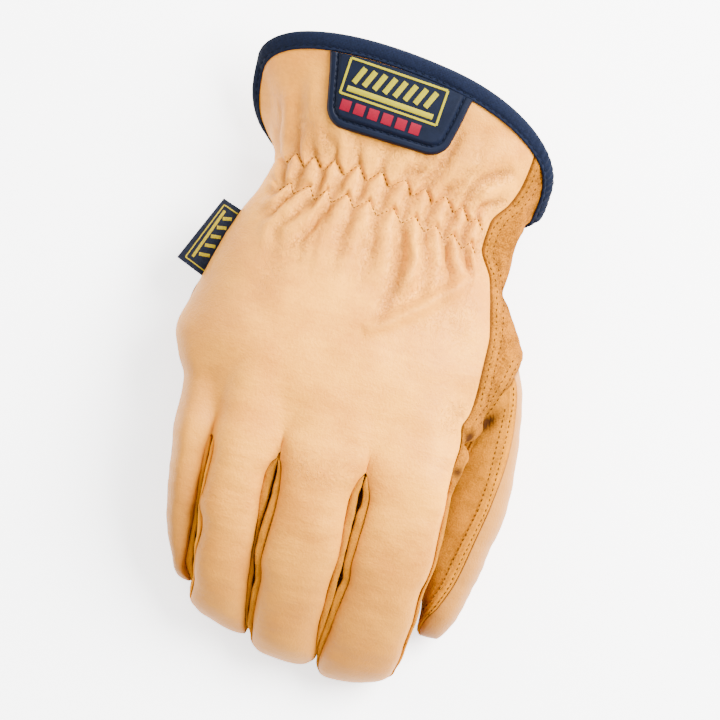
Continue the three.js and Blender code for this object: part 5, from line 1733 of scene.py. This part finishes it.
def tag_piece():
    """A folded damask ribbon, held in the little finger's side seam."""
    u = np.linspace(0, 1, 60)[:, None]
    v = np.linspace(0, 1, 60)[None]
    flat = tag_point(u[..., None], v[..., None])
    x, y = flat[..., 0], flat[..., 1]
    z = TAG_LEVEL + 0.35 * np.sin(v * 5) * u - 0.5 * u
    puff = 0.25 * np.sin(np.pi * v) * u
    sheets = Sheets()
    sheets.add(np.stack([x, y, z + puff], -1), np.stack([x, y, z - TAG_THICK - puff], -1))
    piece = sheets.build("side_tag_ribbon", [TAG_CLOTH, TAG_CLOTH], sharp=60)
    assign(piece, "tag_weave", "side_tag")
    tree = surface_tree(piece)

    def on_tag(x, y):
        return np.array([seen_from_above(tree, *place)[0] for place in zip(x, y)]) + np.array([0, 0, 0.02])

    frame_line = [tag_point(*place) for place in ((0.06, 0.07), (0.8, 0.07), (0.8, 0.93), (0.06, 0.93))]
    marks = [([frame_line[k], frame_line[k + 1]], 0.22) for k in range(3)]
    marks.append(([tag_point(0.62, 0.13), tag_point(0.62, 0.87)], 0.5))
    for k in range(5):
        down = 0.17 + 0.14 * k
        marks.append(([tag_point(0.16, down), tag_point(0.5, down + 0.06)], 0.6))
    raised_marks("side_tag_stripes", marks, on_tag, 0.1, TAG_YELLOW, "tag_weave")


# Stitches
def stitch_row(tree, path, pitch, length, wander=0.0, rounded=True):
    """Places along a path seen from above: middle, direction and normal of each stitch, in millimetres."""
    path = rounded_path(path, 6) if rounded else np.asarray(path, float)
    run = path_run(path)
    places = []
    count = max(int(run[-1] / pitch), 1)
    for k in range(count):
        along = (k + 0.5) * run[-1] / count
        ends = []
        for s in (along - length / 2, along + length / 2):
            x = np.interp(s, run, path[:, 0]) + wander * math.sin(2.7 * k)
            y = np.interp(s, run, path[:, 1]) + wander * math.cos(3.9 * k)
            ends.append(seen_from_above(tree, x, y))
        if None not in ends:
            (start, start_normal), (stop, stop_normal) = ends
            places.append((start, stop, (start_normal + stop_normal) / 2))
    return places


STITCH_RINGS = 7
STITCH_SIDES = 6


def stitches(name, places, material, slot, width, sink):
    """Short lengths of thread, round in section, that dip into the leather at both ends."""
    points, faces = [], []
    for start, stop, normal in places:
        normal = normal / max(np.linalg.norm(normal), 1e-6)
        axis = stop - start
        side = np.cross(normal, axis)
        side /= max(np.linalg.norm(side), 1e-6)
        faces += tube_faces(len(points), STITCH_RINGS, STITCH_SIDES)
        for t in np.arange(STITCH_RINGS) / (STITCH_RINGS - 1):
            swell = math.sin(math.pi * (0.08 + 0.84 * t)) ** 0.6
            centre = start + axis * t + normal * (width * 0.55 * math.sin(math.pi * t) - sink)
            for a in range(STITCH_SIDES):
                turn = 2 * math.pi * a / STITCH_SIDES
                outwards = side * math.cos(turn) + normal * math.sin(turn)
                points.append(centre + swell * width / 2 * outwards)
    assign(make_mesh(name, points, faces, [material], sharp=70), slot)


def offset_path(path, distance):
    """A path drawn beside another, to its left seen along it."""
    path = rounded_path(path, 6)
    step = np.gradient(path, axis=0)
    step /= np.linalg.norm(step, axis=1, keepdims=True)
    return path + np.column_stack([-step[:, 1], step[:, 0]]) * distance


back = back_piece()
palm = palm_piece()
for left_finger, right_finger in zip(NAMES[:-1], NAMES[1:]):
    gusset_piece(left_finger, right_finger)
thumb_piece(
    "thumb_grain_leather", "thumb_back", "grain_leather", GRAIN_MATERIALS, thumb_grain_relief,
    turn=-360, end=-88.98,
)
thumb_suede = thumb_piece(
    "thumb_suede_inside", "thumb_front", "suede", SUEDE_MATERIALS, thumb_suede_relief,
    turn=0, end=-88.9,
)
binding = binding_piece()
patch = patch_piece()
label_marks()
tag_piece()

# Gather stitches follow the two zigzags
back_tree = surface_tree(back)
for row in (1, 2):
    columns = (f"{key}{row}{way}" for way in "xy" for key in ("ridge", "valley"))
    x, _, y = gather_line(*(GATHERS[column] for column in columns))
    zigzag = np.column_stack([x, y])[1:]
    places = stitch_row(back_tree, zigzag, pitch=1.6, length=1.2, wander=0.06, rounded=False)
    stitches(f"gather_stitches_{row}", places, THREAD, "grain_leather", width=0.36, sink=0.12)

# The suede's seams as seen from above, each with the two rows of stitches in its allowance
SIDE_SEAM = [
    (44.3, 83), (43.8, 78), (42.6, 72), (40.2, 67), (37, 62.5), (34.8, 58), (34, 53), (34, 48),
    (35.5, 44), (38.5, 40), (40.8, 35), (42.5, 28), (44, 20), (44.4, 10), (44.6, 0), (45, -6),
]
THUMB_SEAM = [
    (55.7, 9), (57.5, 4), (58.8, -2), (59.2, -10), (59.3, -20), (59.3, -30), (58.6, -40), (57.2, -47),
    (55.5, -55), (54, -62), (52.5, -70), (50, -77), (47.5, -82),
]
HAND_SEAM = [(57, 13), (55.5, 7), (54, 1.5), (52.5, -3.5), (50.5, -8), (48.7, -12)]
side_tree = surface_tree(palm, thumb_suede, back)
rows = []
for beside in SIDE_ALLOWANCE["grooves"]:
    row = offset_path(SIDE_SEAM, beside)
    rows += stitch_row(side_tree, row, pitch=2.1, length=1.1, wander=0.12)
for beside, first_y in ((1.3, 4.5), (3.8, -2.5)):
    row = offset_path(THUMB_SEAM, -beside)
    row = row[row[:, 1] < first_y]
    rows += stitch_row(side_tree, row, pitch=1.9, length=1.25, wander=0.05)
for beside in (1.2, 3.3):
    row = offset_path(HAND_SEAM, -beside)
    rows += stitch_row(side_tree, row, pitch=1.9, length=1.2, wander=0.05)
stitches("side_and_thumb_stitches", rows, SUEDE_THREAD, "suede", width=0.46, sink=0.14)

# The groove of the patch and the binding are sewn with navy thread
groove_line = patch_outline(np.linspace(0.02, 1, 25), np.linspace(0.03, 0.97, 30))
groove_line = offset_path(groove_line[::-1], -GROOVE)
places = stitch_row(surface_tree(patch), groove_line, pitch=2.4, length=1.7)
stitches("patch_stitches", places, DARK_THREAD, "patch_rubber", width=0.5, sink=0.05)
band_line = [binding_points(np.array([a]), 4.1, -1.3)[0, :2] for a in np.arange(192.0, -26.0, -3.0)]
places = stitch_row(surface_tree(binding), band_line, pitch=2.6, length=1.7)
stitches("binding_stitches", places, DARK_THREAD, "binding_fabric", width=0.4, sink=0.05)

# Floor, light and camera
floor_mesh = bpy.data.meshes.new("floor")
floor_mesh.from_pydata([(-3, -3, 0), (3, -3, 0), (3, 3, 0), (-3, 3, 0)], [], [(0, 1, 2, 3)])
floor = bpy.data.objects.new("floor", floor_mesh)
bpy.context.collection.objects.link(floor)
floor.location.z = -0.0005
paper, _, _ = new_material(
    "white_backdrop_paper", 0.9, Specular_IOR_Level=0.0, Base_Color=colour("#fcfcfc"),
    Emission_Color=colour("#ffffff"), Emission_Strength=2.0,
)
floor_mesh.materials.append(paper)

world = bpy.data.worlds.new("studio")
bpy.context.scene.world = world
world.use_nodes = True
sky = world.node_tree.nodes["Background"]
sky.inputs["Color"].default_value = colour("#ffffff")
sky.inputs["Strength"].default_value = 0.62


def softbox(name, place, size, power):
    """A square soft light that faces the glove, with its place and side in metres and its power in watts."""
    light = bpy.data.lights.new(name, "AREA")
    light.size = size
    light.energy = power
    lamp = bpy.data.objects.new(name, light)
    lamp.location = place
    facing = Vector((0, 0, 0.02)) - Vector(place)
    lamp.rotation_euler = facing.to_track_quat("-Z", "Y").to_euler()
    bpy.context.collection.objects.link(lamp)


softbox("key_softbox", (0.74, 0.55, 0.85), 0.9, 114)
softbox("top_softbox", (-0.1, 0.2, 1.5), 1.2, 14)
softbox("fill_softbox", (-0.8, 0.6, 0.7), 0.8, 16)

# The camera looks straight down from far off, in metres, turned as the glove lies in the picture
CAMERA_DISTANCE = 2.0
CAMERA_TURN = math.radians(14)
FRAME_WIDTH = 0.252
FRAME_MIDDLE = (0.00405, 0.00159)
FRAME_LEVEL = 0.03
SENSOR = 36
camera_data = bpy.data.cameras.new("camera")
camera_data.lens = SENSOR * CAMERA_DISTANCE / FRAME_WIDTH
camera_data.sensor_width = SENSOR
camera_data.clip_end = 20
camera = bpy.data.objects.new("camera", camera_data)
camera.location = (*FRAME_MIDDLE, CAMERA_DISTANCE + FRAME_LEVEL)
camera.rotation_euler = (0, 0, CAMERA_TURN)
bpy.context.collection.objects.link(camera)
bpy.context.scene.camera = camera
